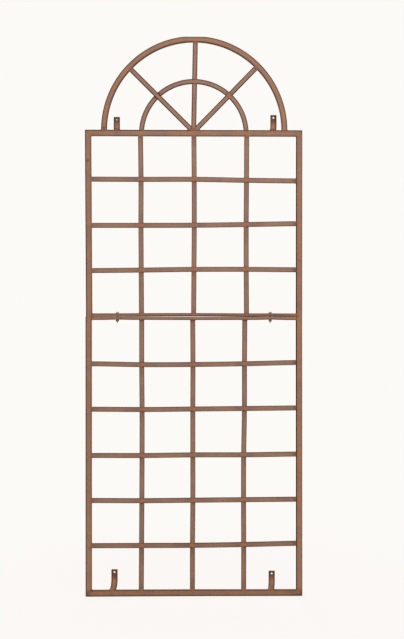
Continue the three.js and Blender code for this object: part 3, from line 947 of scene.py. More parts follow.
def copies(group, points, shape, **placing):
    """Real copies of a shape, one on each point, with a Scale and perhaps a Rotation"""
    inputs = {"Points": points, "Instance": shape, **placing}
    return real(group, add(group, "GeometryNodeInstanceOnPoints", inputs).outputs[0])


def carried(group, name, kind="FLOAT"):
    """An attribute that the points come in with"""
    return add(group, "GeometryNodeInputNamedAttribute", {"Name": name}, data_type=kind).outputs["Attribute"]


def hammered(group, geometry, scale, detail, reach):
    """Pushes the surface about with noise, as far as reach, so that no two copies are alike"""
    rough = add(group, "ShaderNodeTexNoise", {"Scale": scale, "Detail": detail})
    centred = add(group, "ShaderNodeVectorMath", {0: rough.outputs["Color"], 1: (0.5, 0.5, 0.5)},
                  operation="SUBTRACT")
    push = add(group, "ShaderNodeVectorMath", {0: centred.outputs[0], "Scale": reach}, operation="SCALE")
    inputs = {"Geometry": geometry, "Offset": push.outputs[0]}
    return add(group, "GeometryNodeSetPosition", inputs).outputs[0]


def end_tree(group, geometry, material, smooth):
    """Coats what the tree has built and sends it out"""
    if smooth:
        geometry = add(group, "GeometryNodeSetShadeSmooth", {"Geometry": geometry}).outputs[0]
    coat = add(group, "GeometryNodeSetMaterial", {"Geometry": geometry, "Material": material})
    add(group, "NodeGroupOutput", {"Geometry": coat.outputs[0]})
    return group


def run_tree(host, group, sizes):
    """Sets the tree's inputs by identifier, evaluates it and leaves the result as a plain mesh"""
    modifier = host.modifiers.new("build", "NODES")
    modifier.node_group = group
    for item in group.interface.items_tree:
        if item.item_type == "SOCKET" and item.in_out == "INPUT" and item.name in sizes:
            modifier[item.identifier] = sizes[item.name]
    result = plain_mesh(host, modifier)
    # The host came with an empty slot, so the coat is made the first one
    coats = [coat for coat in result.materials if coat]
    result.materials.clear()
    for coat in coats:
        result.materials.append(coat)
    result.polygons.foreach_set("material_index", [0] * len(result.polygons))
    host.data = result
    result.name = host.name
    return host


def points_host(name, vertices=(), edges=()):
    """An object of bare points and edges, in millimetres, for a tree to build on"""
    mesh = bpy.data.meshes.new(name)
    mesh.from_pydata([Vector(v) * MM for v in vertices], edges, [])
    return linked(name, mesh)


print("helpers ready for the trees")

# %% A tree for bent tube
def bent_tube_tree(material):
    sizes = {"Line Radius": 0.29, "Tube Face": 0.02, "Tube Depth": 0.01, "Corner Radius": 0.002,
             "Stations": 240}
    group, size = new_tree("bent_tube", sizes)
    arc = add(group, "GeometryNodeCurveArc", {"Resolution": size["Stations"], "Radius": size["Line Radius"],
                                              "Start Angle": 0.0, "Sweep Angle": math.pi})
    flat = add(group, "GeometryNodeSetCurveNormal", {"Curve": arc.outputs["Curve"]}, mode="Z_UP")
    section = add(group, "GeometryNodeCurvePrimitiveQuadrilateral", {"Width": size["Tube Face"],
                                                                     "Height": size["Tube Depth"]})
    soft = add(group, "GeometryNodeFilletCurve", {"Curve": section.outputs[0], "Count": 5,
                                                  "Radius": size["Corner Radius"]}, mode="POLY")
    fine = add(group, "GeometryNodeResampleCurve", {"Curve": soft.outputs[0], "Length": 0.0009},
               mode="LENGTH")
    tube = add(group, "GeometryNodeCurveToMesh", {"Curve": flat.outputs[0], "Profile Curve": fine.outputs[0],
                                                  "Fill Caps": True})
    stand = add(group, "GeometryNodeTransform", {"Geometry": tube.outputs[0],
                                                 "Rotation": (math.pi / 2, 0, 0)})
    return end_tree(group, real(group, stand.outputs[0]), material, False)


arch_sizes = {"Line Radius": (ARCH_RADIUS - TUBE_FACE / 2) * MM, "Tube Face": TUBE_FACE * MM,
              "Tube Depth": TUBE_DEPTH * MM, "Corner Radius": TUBE_RADIUS * MM, "Stations": 240}
arch = run_tree(points_host("outer_arch_tube"), bent_tube_tree(rust_coat), arch_sizes)
arch.data.transform(Matrix.Translation((ARCH_CENTRE.x * MM, 0, ARCH_CENTRE.y * MM)))
print("true half circle", [round(v, 4) for v in arch.dimensions])

# %% Pull the arch to its real shape
# No point may rise above this radius over the arch's centre, which keeps the overall height
CEILING = ARCH_RADIUS - 0.01
# Keeps the feet, where the sine goes to nothing, out of the division
LEAST_SINE = 0.02


def arch_pull(angle):
    """How far the bent tube's inner and outer edge stand out from the true half circle, in millimetres.

    It was bent a little high: both edges rise towards the crown, as far as the overall height allows.
    """
    sine = max(math.sin(angle), LEAST_SINE)
    rise = sine ** 4
    spare = CEILING / sine - ARCH_RADIUS
    outer = -0.3 + 2.3 * rise
    if outer > 0:
        # A soft minimum of what is wanted and what is spare
        outer = outer * spare / (outer ** 4 + spare ** 4) ** 0.25
    return 0.7 + 2.1 * rise, outer


shape = bmesh.new()
shape.from_mesh(arch.data)
bmesh.ops.remove_doubles(shape, verts=shape.verts, dist=MERGE_DISTANCE)
bmesh.ops.recalc_face_normals(shape, faces=shape.faces)
band_layer = shape.verts.layers.float.new("edge_band")
for vertex in shape.verts:
    from_centre = Vector((vertex.co.x / MM - ARCH_CENTRE.x, vertex.co.z / MM - ARCH_CENTRE.y))
    across = from_centre.length - ARCH_RADIUS + TUBE_FACE / 2
    vertex[band_layer] = arris_band(across, vertex.co.y / MM, TUBE_FACE, TUBE_DEPTH, TUBE_RADIUS, WIDE_FADE)
    inner_pull, outer_pull = arch_pull(math.atan2(from_centre.y, from_centre.x))
    share = across / TUBE_FACE + 0.5
    reach = from_centre.length + inner_pull + (outer_pull - inner_pull) * share
    vertex.co.x = (ARCH_CENTRE.x + from_centre.x / from_centre.length * reach) * MM
    vertex.co.z = (ARCH_CENTRE.y + from_centre.y / from_centre.length * reach) * MM
shape.to_mesh(arch.data)
shape.free()
arch.data.shade_smooth()
arch.data.set_sharp_from_angle(angle=SHARP_ANGLE)
made["outer_arch"] = arch
print("outer arch size in metres", [round(v, 4) for v in arch.dimensions])

# %% [markdown]
# ## Inner arch and spokes
#
# The inner arch is the lattice bar bent on edge, and the three spokes fan out from a hub on the top
# rail. Where a spoke crosses the inner arch they are half-lapped too: the left spoke passes in front,
# the other two behind. A lap between a straight bar and a round one has one curved side, which the
# sweep's cut functions give exactly.

# %% Sweep the inner arch
ARCH_STEP = 6.0


def along_and_across(angle):
    """Directions along a spoke and across it, to the left"""
    return Vector((math.cos(angle), math.sin(angle))), Vector((-math.sin(angle), math.cos(angle)))


def lap_angles(angle, offset):
    """Where a line beside a spoke meets a circle of the inner arch, as an angle on the arch"""
    beside = offset + (HUB - INNER_CENTRE).dot(along_and_across(angle)[1])
    return lambda across: angle + math.asin(beside / (INNER_RADIUS + across))


def rail_angle(across):
    """Angle at which a circle of the inner arch comes down on the top rail, at its right foot"""
    return math.asin((RAIL_TOP + TOUCH - INNER_CENTRE.y) / (INNER_RADIUS + across))


def place_on_inner_arch(s, across, depth):
    radius = INNER_RADIUS + across
    return INNER_CENTRE.x + radius * math.cos(s), depth, INNER_CENTRE.y + radius * math.sin(s)


arch_laps = [(lap_angles(angle, -LAP_HALF), lap_angles(angle, LAP_HALF), name != "left_spoke")
             for name, angle in SPOKES.items()]
arch_joints = [angle * INNER_RADIUS for angle in (rail_angle(0), math.pi - rail_angle(0), *SPOKES.values())]
lowest = rail_angle(BAR_FACE / 2) * INNER_RADIUS
highest = (math.pi - rail_angle(BAR_FACE / 2)) * INNER_RADIUS
marks = [s / INNER_RADIUS for s in stations(lowest, highest, ARCH_STEP, arch_joints)]
shape = sweep(BAR_RING, HEAD_BANDS, place_on_inner_arch, marks, rail_angle,
              lambda across: math.pi - rail_angle(across), arch_laps)
made["inner_arch"] = finish_mesh("inner_arch_bar", shape)
print("inner arch size in metres", [round(v, 4) for v in made["inner_arch"].dimensions])

# %% Sweep the spokes
def to_circle(angle, centre, radius):
    """Distance from the hub along a spoke to a circle, as a function of the place across the spoke"""
    along, across_way = along_and_across(angle)

    def at(across):
        offset = HUB - centre + across_way * across
        reach = offset.dot(along)
        return -reach + math.sqrt(reach * reach - offset.length_squared + radius * radius)

    return at


def arch_bore(angle):
    """Radius of the outer arch's inner edge where a spoke comes to it"""
    return ARCH_RADIUS - TUBE_FACE + arch_pull(angle)[0]


def spoke_foot(name, angle):
    """Where a spoke starts: on the top rail, and for the side spokes beside the centre one too"""
    along, across_way = along_and_across(angle)
    on_rail = lambda across: (RAIL_TOP + TOUCH - HUB.y - across * across_way.y) / along.y
    if name == "centre_spoke":
        return on_rail
    middle_side = along_and_across(SPOKES["centre_spoke"])[1] * (1 if name == "left_spoke" else -1)
    clear = BAR_FACE / 2 + TOUCH
    beside = lambda across: (clear - across * across_way.dot(middle_side)) / along.dot(middle_side)
    return lambda across: max(on_rail(across), beside(across))


def make_spoke(name):
    angle = SPOKES[name]
    along, across_way = along_and_across(angle)
    first = spoke_foot(name, angle)
    last = to_circle(angle, ARCH_CENTRE, arch_bore(angle) - TOUCH)
    low, high = [to_circle(angle, INNER_CENTRE, INNER_RADIUS + half) for half in (-LAP_HALF, LAP_HALF)]

    def place(s, across, depth):
        point = HUB + along * s + across_way * across
        return point.x, depth, point.y

    start = min(first(across) for across, depth in BAR_RING)
    end = max(last(across) for across, depth in BAR_RING)
    marks = stations(start, end, STATION_STEP, [start + 6, (low(0) + high(0)) / 2, last(0)])
    laps = [(low, high, name == "left_spoke")]
    shape = sweep(BAR_RING, HEAD_BANDS, place, marks, first, last, laps)
    made[name] = finish_mesh(f"{name}_bar", shape)


for name in SPOKES:
    make_spoke(name)
print({made[name].name: [round(v, 3) for v in made[name].dimensions] for name in SPOKES})

# %% [markdown]
# ## Wall tabs
#
# A tab is a 20 by 3 mm strip that lies on the rail, runs back over its rear edge, bends up and ends in
# a plate with a screw hole, 28 mm behind the frame. It was bent cold by hand, so each one leans its own
# way. The strip is swept along its own line, its corners just broken with a file, and the hole has a small
# chamfer on both faces. The coat has run into the top left hole and half closed it.

# %% Sweep the tabs and drill them
TAB_WIDTH, TAB_THICKNESS, TAB_RISE, TAB_REACH = 20.0, 3.0, 52.0, 33.0
TAB_BEND, TAB_CORNER, TAB_HOLE, TAB_HOLE_DROP = 25.0, 1.5, 6.0, 9.0
# Radius of the filed arrises, distance between stations, and how much the coat narrows a closed hole
TAB_ARRIS, TAB_STEP, COAT_IN_HOLE = 0.5, 3.0, 1.1
# Each tab's height as a share of the CAD one, and its lean to the right for each millimetre back
TABS = {
    "bottom_left": {"rise": 1.1, "drift": 0.1},
    "bottom_right": {"rise": 0.985, "drift": 0.15},
    "top_left": {"rise": 0.935, "drift": -0.09},
    "top_right": {"rise": 1.085, "drift": 0.14},
}
TAB_RING = section_ring(TAB_WIDTH, TAB_THICKNESS, TAB_ARRIS, 3)
TAB_BANDS = [arris_band(a, d, TAB_WIDTH, TAB_THICKNESS, TAB_ARRIS, WIDE_FADE) for a, d in TAB_RING]


def tab_foot(corner):
    """x of a tab's middle where it stands on the rail, read from the front of its CAD node"""
    points = node_points(f"{corner}_wall_tab")
    front = points[points[:, 1] < points[:, 1].min() + 0.5]
    return (front[:, 0].min() + front[:, 0].max()) / 2 + TABS[corner]["drift"] * TUBE_DEPTH / 2


def tab_rail(corner):
    """Height of the rail's top face under a tab"""
    return RAIL_TOP if corner.startswith("top") else bottom_edges(tab_foot(corner))[1]


def make_tab(corner):
    rise, drift = TABS[corner]["rise"], TABS[corner]["drift"]
    foot_x = tab_foot(corner)
    ground = tab_rail(corner) + TOUCH
    middle = TAB_BEND - TAB_THICKNESS / 2
    flat = TAB_REACH - TAB_BEND + TUBE_DEPTH / 2
    curve = middle * math.pi / 2
    length = flat + curve + TAB_RISE * rise - TAB_BEND
    plate_y = TAB_REACH - TAB_THICKNESS / 2

    def place(s, across, depth):
        if s < flat:
            y, z, ny, nz = s - TUBE_DEPTH / 2, TAB_THICKNESS / 2, 0.0, -1.0
        elif s < flat + curve:
            turn = (s - flat) / middle
            y = TAB_REACH - TAB_BEND + middle * math.sin(turn)
            z = TAB_BEND - middle * math.cos(turn)
            ny, nz = math.sin(turn), -math.cos(turn)
        else:
            y, z, ny, nz = plate_y, TAB_BEND + s - flat - curve, 1.0, 0.0
        y, z = y + ny * depth, z + nz * depth
        return foot_x + across + drift * y, y, ground + z

    def last(across):
        past = max(0.0, abs(across) - (TAB_WIDTH / 2 - TAB_CORNER))
        return length - TAB_CORNER + math.sqrt(max(0.0, TAB_CORNER ** 2 - past ** 2))

    marks = stations(0.0, length, TAB_STEP)
    marks = sorted({*marks, *(length - TAB_CORNER * share for share in (0.06, 0.15, 0.3, 0.5, 0.75))})
    shape = sweep(TAB_RING, TAB_BANDS, place, marks, lambda across: 0.0, last)
    strip = finish_mesh(f"{corner}_tab_strip", shape)
    hole_z = ground + TAB_RISE * rise - TAB_HOLE_DROP
    r = TAB_HOLE / 2 - (COAT_IN_HOLE if corner == "top_left" else 0.0)
    profile = [(0, -3), (r + 1.9, -3), (r, -1.1), (r, 1.1), (r + 1.9, 3), (0, 3)]
    drill = as_cutter("tab_drill", turned(profile, "Y"), (foot_x + drift * plate_y, plate_y, hole_z))
    made[f"{corner}_wall_tab"] = cut_away(strip, [drill])


for corner in TABS:
    make_tab(corner)
print({corner: [round(v, 4) for v in made[f"{corner}_wall_tab"].dimensions] for corner in TABS})

# %% [markdown]
# ## Bolts and nuts
#
# M6 hexagon bolts go down through both mating rails into nuts. The corners of a real head are turned
# off at 30 degrees, which draws six curved scallops round a flat disc: that comes out by itself when the
# chamfer height is worked out from the distance to the axis at each angle. The screw thread is a ridge
# on a helix with a 1 mm pitch, and Geometry Nodes winds it along a spiral.

# %% Hexagon heads
ACROSS_FLATS, HEAD_HEIGHT, NUT_HEIGHT = 10.0, 4.0, 5.0
CHAMFER_START = ACROSS_FLATS / 2 * 0.93
CHAMFER = math.tan(math.radians(30))
HEX_STEPS = 72
# Chamfer at both ends of a nut's bore, and the innermost ring on the flat end of a head without one
BORE_CHAMFER, CENTRE_RING = 0.5, 0.6


def hexagon(low, high, turn, chamfer_low, chamfer_high, bore=0.0):
    """A hexagon about the z axis, chamfered at the ends that ask for it, with a bore if one is given"""
    shape = bmesh.new()
    rows = []
    sink = BORE_CHAMFER if bore else 0.0
    inner = bore + BORE_CHAMFER if bore else CENTRE_RING
    outline = [(bore, low + sink), (inner, low), (CHAMFER_START, low), ("hex", low),
               ("hex", high), (CHAMFER_START, high), (inner, high), (bore, high - sink)]
    for radius, height in outline:
        row = []
        for i in range(HEX_STEPS):
            angle = 2 * math.pi * i / HEX_STEPS
            if radius == "hex":
                within = (angle + math.pi / 6) % (math.pi / 3) - math.pi / 6
                out = ACROSS_FLATS / 2 / math.cos(within)
                fall = (out - CHAMFER_START) * CHAMFER
                z = height + (fall if height == low and chamfer_low else 0)
                z -= fall if height == high and chamfer_high else 0
            else:
                out, z = radius, height
            way = angle + turn
            row.append(shape.verts.new(Vector((out * math.cos(way), out * math.sin(way), z)) * MM))
        rows.append(row)
    if bore:
        rows.append(rows[0])
    skin(shape, rows)
    bmesh.ops.remove_doubles(shape, verts=shape.verts, dist=0.001 * MM)
    bmesh.ops.recalc_face_normals(shape, faces=shape.faces)
    return shape


print("hexagon", ACROSS_FLATS, "mm across flats, chamfered from a radius of", CHAMFER_START, "mm")

# %% A tree for the thread
def thread_tree(material):
    """Winds a ridge round a shank that comes in as the geometry"""
    sizes = {"Turns": 20.0, "Pitch": 0.001, "Root Radius": 0.0026, "Ridge": 0.0004, "Steps Per Turn": 24}
    group, size = new_tree("screw_thread", sizes)
    helix = add(group, "GeometryNodeCurveSpiral", {"Resolution": size["Steps Per Turn"],
                                                   "Rotations": size["Turns"],
                                                   "Start Radius": size["Root Radius"],
                                                   "End Radius": size["Root Radius"],
                                                   "Height": maths(group, "MULTIPLY", size["Turns"],
                                                                   size["Pitch"])})
    ridge = add(group, "GeometryNodeCurvePrimitiveCircle", {"Resolution": 6, "Radius": size["Ridge"]})
    wound = add(group, "GeometryNodeCurveToMesh", {"Curve": helix.outputs[0], "Fill Caps": True,
                                                   "Profile Curve": ridge.outputs[0]})
    both = add(group, "GeometryNodeJoinGeometry")
    group.links.new(size["Geometry"], both.inputs[0])
    group.links.new(wound.outputs[0], both.inputs[0])
    return end_tree(group, real(group, both.outputs[0]), material, False)


THREADS = thread_tree(zinc_plate)
print("thread inputs", [item.name for item in THREADS.interface.items_tree if item.in_out == "INPUT"])

# %% Place the bolts and nuts
BOLT_LENGTH, THREAD_TURNS, PITCH = 30.0, 18.0, 1.0
# Radius of the shank under the thread and above it, of the line that the ridge follows, and of the nut
THREAD_ROOT, SHANK, RIDGE_LINE, NUT_BORE = 2.55, 2.95, 2.6, 3.25
HEX_TURN = {"left": math.radians(5), "right": math.radians(-2)}
HEX_SHARP = math.radians(25)


def merged(pieces):
    """Several bmeshes as one"""
    whole = bmesh.new()
    for piece in pieces:
        mesh = bpy.data.meshes.new("part")
        piece.to_mesh(mesh)
        piece.free()
        whole.from_mesh(mesh)
        bpy.data.meshes.remove(mesh)
    return whole


def make_bolt(side):
    """Head and shank stand on their tip while the thread is wound, and then go to their place"""
    low, high = NODE_BOX[f"bolt_{side}"]
    x, seat = (low.x + high.x) / 2, high.z - HEAD_HEIGHT
    shank = turned([(0, -BOLT_LENGTH), (1.9, -BOLT_LENGTH), (THREAD_ROOT, 0.7 - BOLT_LENGTH),
                    (THREAD_ROOT, THREAD_TURNS - BOLT_LENGTH), (SHANK, THREAD_TURNS + 0.6 - BOLT_LENGTH),
                    (SHANK, 0.1), (0, 0.1)])
    head = hexagon(0, HEAD_HEIGHT, HEX_TURN[side], False, True)
    bolt = finish_mesh(f"bolt_{side}_threaded", merged([head, shank]), HEX_SHARP)
    bolt.data.transform(Matrix.Translation((0, 0, BOLT_LENGTH * MM)))
    run_tree(bolt, THREADS, {"Turns": THREAD_TURNS - 1.0, "Pitch": PITCH * MM, "Root Radius": RIDGE_LINE * MM,
                             "Ridge": 0.38 * MM, "Steps Per Turn": 24})
    bolt.data.transform(Matrix.Translation((x * MM, 0, (seat - BOLT_LENGTH) * MM)))
    made[f"bolt_{side}"] = bolt


def make_nut(side):
    low, high = NODE_BOX[f"nut_{side}"]
    shape = hexagon(-NUT_HEIGHT, 0, -HEX_TURN[side], True, True, NUT_BORE)
    nut = finish_mesh(f"nut_{side}_chamfered", shape, HEX_SHARP)
    nut.data.transform(Matrix.Translation(((low.x + high.x) / 2 * MM, 0, high.z * MM)))
    made[f"nut_{side}"] = nut


for side in HEX_TURN:
    make_bolt(side)
    make_nut(side)
print({f"bolt_{side}": [round(v, 4) for v in made[f"bolt_{side}"].dimensions] for side in HEX_TURN})

# %% [markdown]
# ## Weld pads over the crossings
#
# Each half-lap was welded front and back and dressed with a grinder, which leaves a low round pad of
# about 15 mm. There are twenty-six of them, all alike but for their hand work, so Geometry Nodes sets one
# pad on each crossing and roughens them with noise. Where the left spoke passes in front of the inner
# arch there is none: that lap is welded along its two edges at the back only.

# %% A tree for crossing pads
def pad_tree(material):
    sizes = {"Half Width": 0.0086, "Half Depth": 0.0024, "Squareness": 0.5, "Unevenness": 0.0003, "Seed": 3}
    group, size = new_tree("crossing_pads", sizes)
    ball = add(group, "GeometryNodeMeshUVSphere", {"Segments": 40, "Rings": 20, "Radius": 1.0})
    upright_ball = add(group, "GeometryNodeTransform", {"Geometry": ball.outputs[0],
                                                        "Rotation": (math.pi / 2, 0, 0)})
    here = add(group, "ShaderNodeSeparateXYZ", {0: add(group, "GeometryNodeInputPosition").outputs[0]})
    squared = {}
    for axis, reach in (("X", "Half Width"), ("Z", "Half Width"), ("Y", "Half Depth")):
        power = size["Squareness"] if axis != "Y" else 0.45
        bulged = maths(group, "POWER", maths(group, "ABSOLUTE", here.outputs[axis]), power)
        signed = maths(group, "MULTIPLY", bulged, maths(group, "SIGN", here.outputs[axis]))
        squared[axis] = maths(group, "MULTIPLY", signed, size[reach])
    moved = add(group, "ShaderNodeCombineXYZ", squared)
    pad = add(group, "GeometryNodeSetPosition", {"Geometry": upright_ball.outputs[0],
                                                 "Position": moved.outputs[0]})
    tilt = add(group, "ShaderNodeCombineXYZ", {"Y": carried(group, "turn")})
    vary = add(group, "FunctionNodeRandomValue", {0: (0.96, 0.98, 0.96), 1: (1.05, 1.04, 1.05),
                                                  "Seed": size["Seed"]}, data_type="FLOAT_VECTOR")
    pads = copies(group, size["Geometry"], pad.outputs[0], Rotation=tilt.outputs[0], Scale=vary.outputs[0])
    return end_tree(group, hammered(group, pads, 260.0, 2.0, size["Unevenness"]), material, True)


PAD_SIZES = {"Half Width": 7.7 * MM, "Half Depth": 2.35 * MM, "Squareness": 0.72, "Unevenness": 0.35 * MM,
             "Seed": 3}
pad_places = {"lower": [], "upper": []}
for (upright, crossbar), (x, z) in CROSSINGS.items():
    pad_places[upright[:5]].append((x, z, -slope_of(UPRIGHTS[upright], z)))
ARCH_CROSSINGS = {name: HUB + along_and_across(angle)[0] * to_circle(angle, INNER_CENTRE, INNER_RADIUS)(0)
                  for name, angle in SPOKES.items()}
for name in ("centre_spoke", "right_spoke"):
    pad_places["upper"].append((*ARCH_CROSSINGS[name], math.pi / 2 - SPOKES[name]))
PADS = pad_tree(bead_coat)
for panel, places in pad_places.items():
    host = points_host(f"{panel}_crossing_pads", [(x, 0, z) for x, z, turn in places])
    host.data.attributes.new("turn", "FLOAT", "POINT").data.foreach_set("value", [t for x, z, t in places])
    made[f"{panel}_pads"] = run_tree(host, PADS, PAD_SIZES)
print({panel: len(places) for panel, places in pad_places.items()}, "pads")

# %% [markdown]
# ## Weld beads
#
# Every bar end, rail end, arch foot and tab foot is held by a short bead. A bead is a row of frozen
# ripples about 1.5 mm apart, leaning over the step from the tube's edge down to the bar. Each bead is
# described by its line, the way that it faces, and its width and height. One tree walks along all the
# lines, drops a flattened droplet at each step and roughens the whole.

# %% A tree for beads
def bead_tree(material):
    sizes = {"Ripple Pitch": 0.0015, "Unevenness": 0.0004, "Seed": 11}
    group, size = new_tree("weld_beads", sizes)
    line = add(group, "GeometryNodeMeshToCurve", {"Mesh": size["Geometry"]})
    steps = add(group, "GeometryNodeResampleCurve", {"Curve": line.outputs[0],
                                                     "Length": size["Ripple Pitch"]}, mode="LENGTH")
    way = add(group, "GeometryNodeInputTangent")
    turn = add(group, "FunctionNodeAxesToRotation", {0: carried(group, "facing", "FLOAT_VECTOR"),
                                                     1: way.outputs[0]},
               primary_axis="Z", secondary_axis="X")
    form = add(group, "ShaderNodeCombineXYZ", {"X": maths(group, "MULTIPLY", size["Ripple Pitch"], 1.25),
                                               "Y": carried(group, "bead_width"),
                                               "Z": carried(group, "bead_rise")})
    vary = add(group, "FunctionNodeRandomValue", {0: (0.9, 0.86, 0.86), 1: (1.15, 1.12, 1.1),
                                                  "Seed": size["Seed"]}, data_type="FLOAT_VECTOR")
    scale = add(group, "ShaderNodeVectorMath", {0: form.outputs[0], 1: vary.outputs[0]}, operation="MULTIPLY")
    drop = add(group, "GeometryNodeMeshUVSphere", {"Segments": 8, "Rings": 5, "Radius": 1.0})
    row = copies(group, steps.outputs[0], drop.outputs[0], Rotation=turn.outputs[0], Scale=scale.outputs[0])
    return end_tree(group, hammered(group, row, 400.0, 1.0, size["Unevenness"]), material, True)


BEADS = bead_tree(bead_coat)
BEAD_SIZES = {"Ripple Pitch": 1.5 * MM, "Unevenness": 0.35 * MM, "Seed": 11}
beads = {"lower": [], "upper": []}


def bead(panel, start, end, facing, width, rise):
    beads[panel].append((Vector(start), Vector(end), Vector(facing).normalized(), width, rise))


def bead_pair(panel, start, end, depth, facing, width, rise):
    """The same bead on the front and on the back, a depth away from the middle plane.

    start and end are (x, z), and the middle number of facing points away from that plane.
    """
    for face in (-1, 1):
        bead(panel, (start[0], face * depth, start[1]), (end[0], face * depth, end[1]),
             (facing[0], face * facing[1], facing[2]), width, rise)


print("bead tree ready, pitch 1.5 mm")

# %% [markdown]
# A bar that meets a tube leaves a step: the tube's face stands 3 mm in front of the bar's. The bead there
# is a leaning fillet, front and back, nearly the whole width of the bar.

# %% Fillets where bars meet tube
TEE_LEAN = math.radians(28)
# A fillet's half length, its distance from the tube and from the middle plane, its width and its rise
TEE_HALF, TEE_OUT, TEE_DEPTH, TEE_WIDTH, TEE_RISE = BAR_FACE / 2 - 1.7, 1.3, 2.95, 2.8, 1.5
# Every weld but those at the crossings and the hub, as (x, z, heat)
tees = []


def tee(panel, point, along, heat):
    """Fillets front and back where a bar leaves a tube at point, running along a direction"""
    point, along = Vector(point), Vector(along).normalized()
    across = Vector((-along.y, along.x))
    start, end = [point + along * TEE_OUT + across * TEE_HALF * way for way in (-1, 1)]
    facing = (along.x * math.sin(TEE_LEAN), math.cos(TEE_LEAN), along.y * math.sin(TEE_LEAN))
    bead_pair(panel, start, end, TEE_DEPTH, facing, TEE_WIDTH, TEE_RISE)
    tees.append((*point, heat))


for node, line in CROSSBARS.items():
    panel = node[:5]
    for side in (-1, 1):
        z = line(side * INNER_HALF)
        tee(panel, (inner_face(side, z), z), (-side, 0), 0.1 if panel == "lower" else 0.35)
for node in UPRIGHTS:
    if node.startswith("lower"):
        tee("lower", outer_end(node), (0, 1), 0.4)
    else:
        tee("upper", outer_end(node), (0, -1), 0.6)
for side in (-1, 1):
    x = place_on_inner_arch(rail_angle(0) if side > 0 else math.pi - rail_angle(0), 0, 0)[0]
    tee("upper", (x, RAIL_TOP), (0.07 * -side, 1), 0.35)
for name, angle in SPOKES.items():
    along = along_and_across(angle)[0]
    tee("upper", HUB + along * to_circle(angle, ARCH_CENTRE, arch_bore(angle))(0), -along, 0.35)
print(len(tees), "bar ends filleted")

# %% [markdown]
# The uprights meet the mating rails, which stand further out, so those fillets sit in a deeper corner.
# Rail ends, arch feet and tab feet have beads along their sides, and the mitres a thin one that was
# ground almost flush. At the hub, where three spokes crowd onto the rail, short beads run across their
# feet, and the dark arrises of the spokes can be followed right down to the rail.

# %% Beads at the seam, the corners, the feet and the hub
# Beads across the spokes' feet at the hub: height over the rail, depth, half length, width and rise
HUB_BEADS = [(0.8, 4.2, 19, 2.6, 0.8), (3.6, 2.7, 9, 2.8, 0.9), (7.0, 1.9, 6, 2.6, 0.7)]


def upright_at_seam(node):
    """A bead front and back where an upright ends on its mating rail"""
    way = -1 if node.startswith("lower") else 1
    x, z = seam_end(node)
    bead_pair(node[:5], (x - 6.9, z + way * 0.9), (x + 6.9, z + way * 0.9), 2.6, (0, 1, way), 2.6, 1.5)
    tees.append((x, z, 0.5))


def rail_end(rail, side):
    """A mating rail's end on the stile: a bead up its front and its back, and one across the outer side"""
    panel = rail[:5]
    z = rail_middle(rail, side * INNER_HALF)
    x = inner_face(side, z)
    away = -1 if panel == "lower" else 1
    bead_pair(panel, (x, z - 3.9), (x, z + 3.9), 5.6, (side, 1, 0), 2.4, 1.3)
    bead(panel, (x - side * 0.4, -4.4, z + away * 5.2), (x - side * 0.4, 4.4, z + away * 5.2),
         (-side, 0, away), 2.2, 1.1)
    tees.append((x, z, 0.4))


def mitre(node, side, rail_edge, way):
    """A thin bead along the mitre, front and back, and one in its inner corner"""
    panel = node[:5]
    outer_x = stile_middle(node, rail_edge) + side * TUBE_FACE / 2
    start, end = [(outer_x - side * reach, rail_edge + way * reach) for reach in (2.2, 19.4)]
    bead_pair(panel, start, end, 4.95, (0, 1, 0), 1.5, 0.28)
    inner, corner_z = outer_x - side * TUBE_FACE, rail_edge + way * TUBE_FACE
    bead(panel, (inner, -3.8, corner_z), (inner, 3.8, corner_z), (-side, 0, way), 1.9, 0.9)
    tees.append((inner + side * 4, rail_edge + way * 16, 0.3))


def arch_end(side):
    """A foot of the outer arch: a bead on its outer and inner side, and one front and back"""
    for edge, pull, out in zip((ARCH_RADIUS, ARCH_RADIUS - TUBE_FACE), reversed(arch_pull(0)), (side, -side)):
        x = ARCH_CENTRE.x + side * (edge + pull) + out * 0.3
        bead("upper", (x, -3.6, RAIL_TOP + 0.4), (x, 3.6, RAIL_TOP + 0.4), (out, 0, 1), 2.0, 1.1)
    x = ARCH_CENTRE.x + side * (ARCH_RADIUS - TUBE_FACE / 2)
    bead_pair("upper", (x - 9, RAIL_TOP + 0.2), (x + 9, RAIL_TOP + 0.2), 4.8, (0, 1, 0.1), 2.1, 0.5)
    tees.append((x, RAIL_TOP, 0.3))


def tab_end(corner):
    """A tab's foot on the rail: a bead along both sides and one across its front"""
    x, z, drift = tab_foot(corner), tab_rail(corner), TABS[corner]["drift"]
    panel = "lower" if corner.startswith("bottom") else "upper"
    for side in (-1, 1):
        bead(panel, (x + side * 10.1 - drift * 4, -4.2, z + 0.5), (x + side * 10.1 + drift * 4, 4.4, z + 0.5),
             (side, 0, 1), 1.2, 0.6)
    bead(panel, (x - 9, -4.7, z + 0.4), (x + 9, -4.7, z + 0.4), (0, -1, 0.35), 1.8, 0.75)
    tees.append((x, z, 0.4))


for node in UPRIGHTS:
    upright_at_seam(node)
for side, stile in ((-1, "left_stile"), (1, "right_stile")):
    rail_end("lower_mating_rail", side)
    rail_end("upper_mating_rail", side)
    mitre(f"lower_{stile}", side, 0.0, 1)
    mitre(f"upper_{stile}", side, RAIL_TOP, -1)
    arch_end(side)
for corner in TABS:
    tab_end(corner)
for over_rail, depth, half, width, rise in HUB_BEADS:
    height = RAIL_TOP + over_rail
    bead_pair("upper", (HUB.x - half, height), (HUB.x + half, height), depth, (0, 1, 0.6), width, rise)
along, across_way = along_and_across(SPOKES["left_spoke"])
for way in (-1, 1):
    edge = ARCH_CROSSINGS["left_spoke"] + across_way * way * BAR_FACE / 2
    start, end = [edge + along * reach for reach in (-6, 6)]
    bead("upper", (start.x, 1.7, start.y), (end.x, 1.7, end.y), (0, 1, 0), 1.8, 0.7)
print({panel: len(lines) for panel, lines in beads.items()}, "beads drawn as lines")

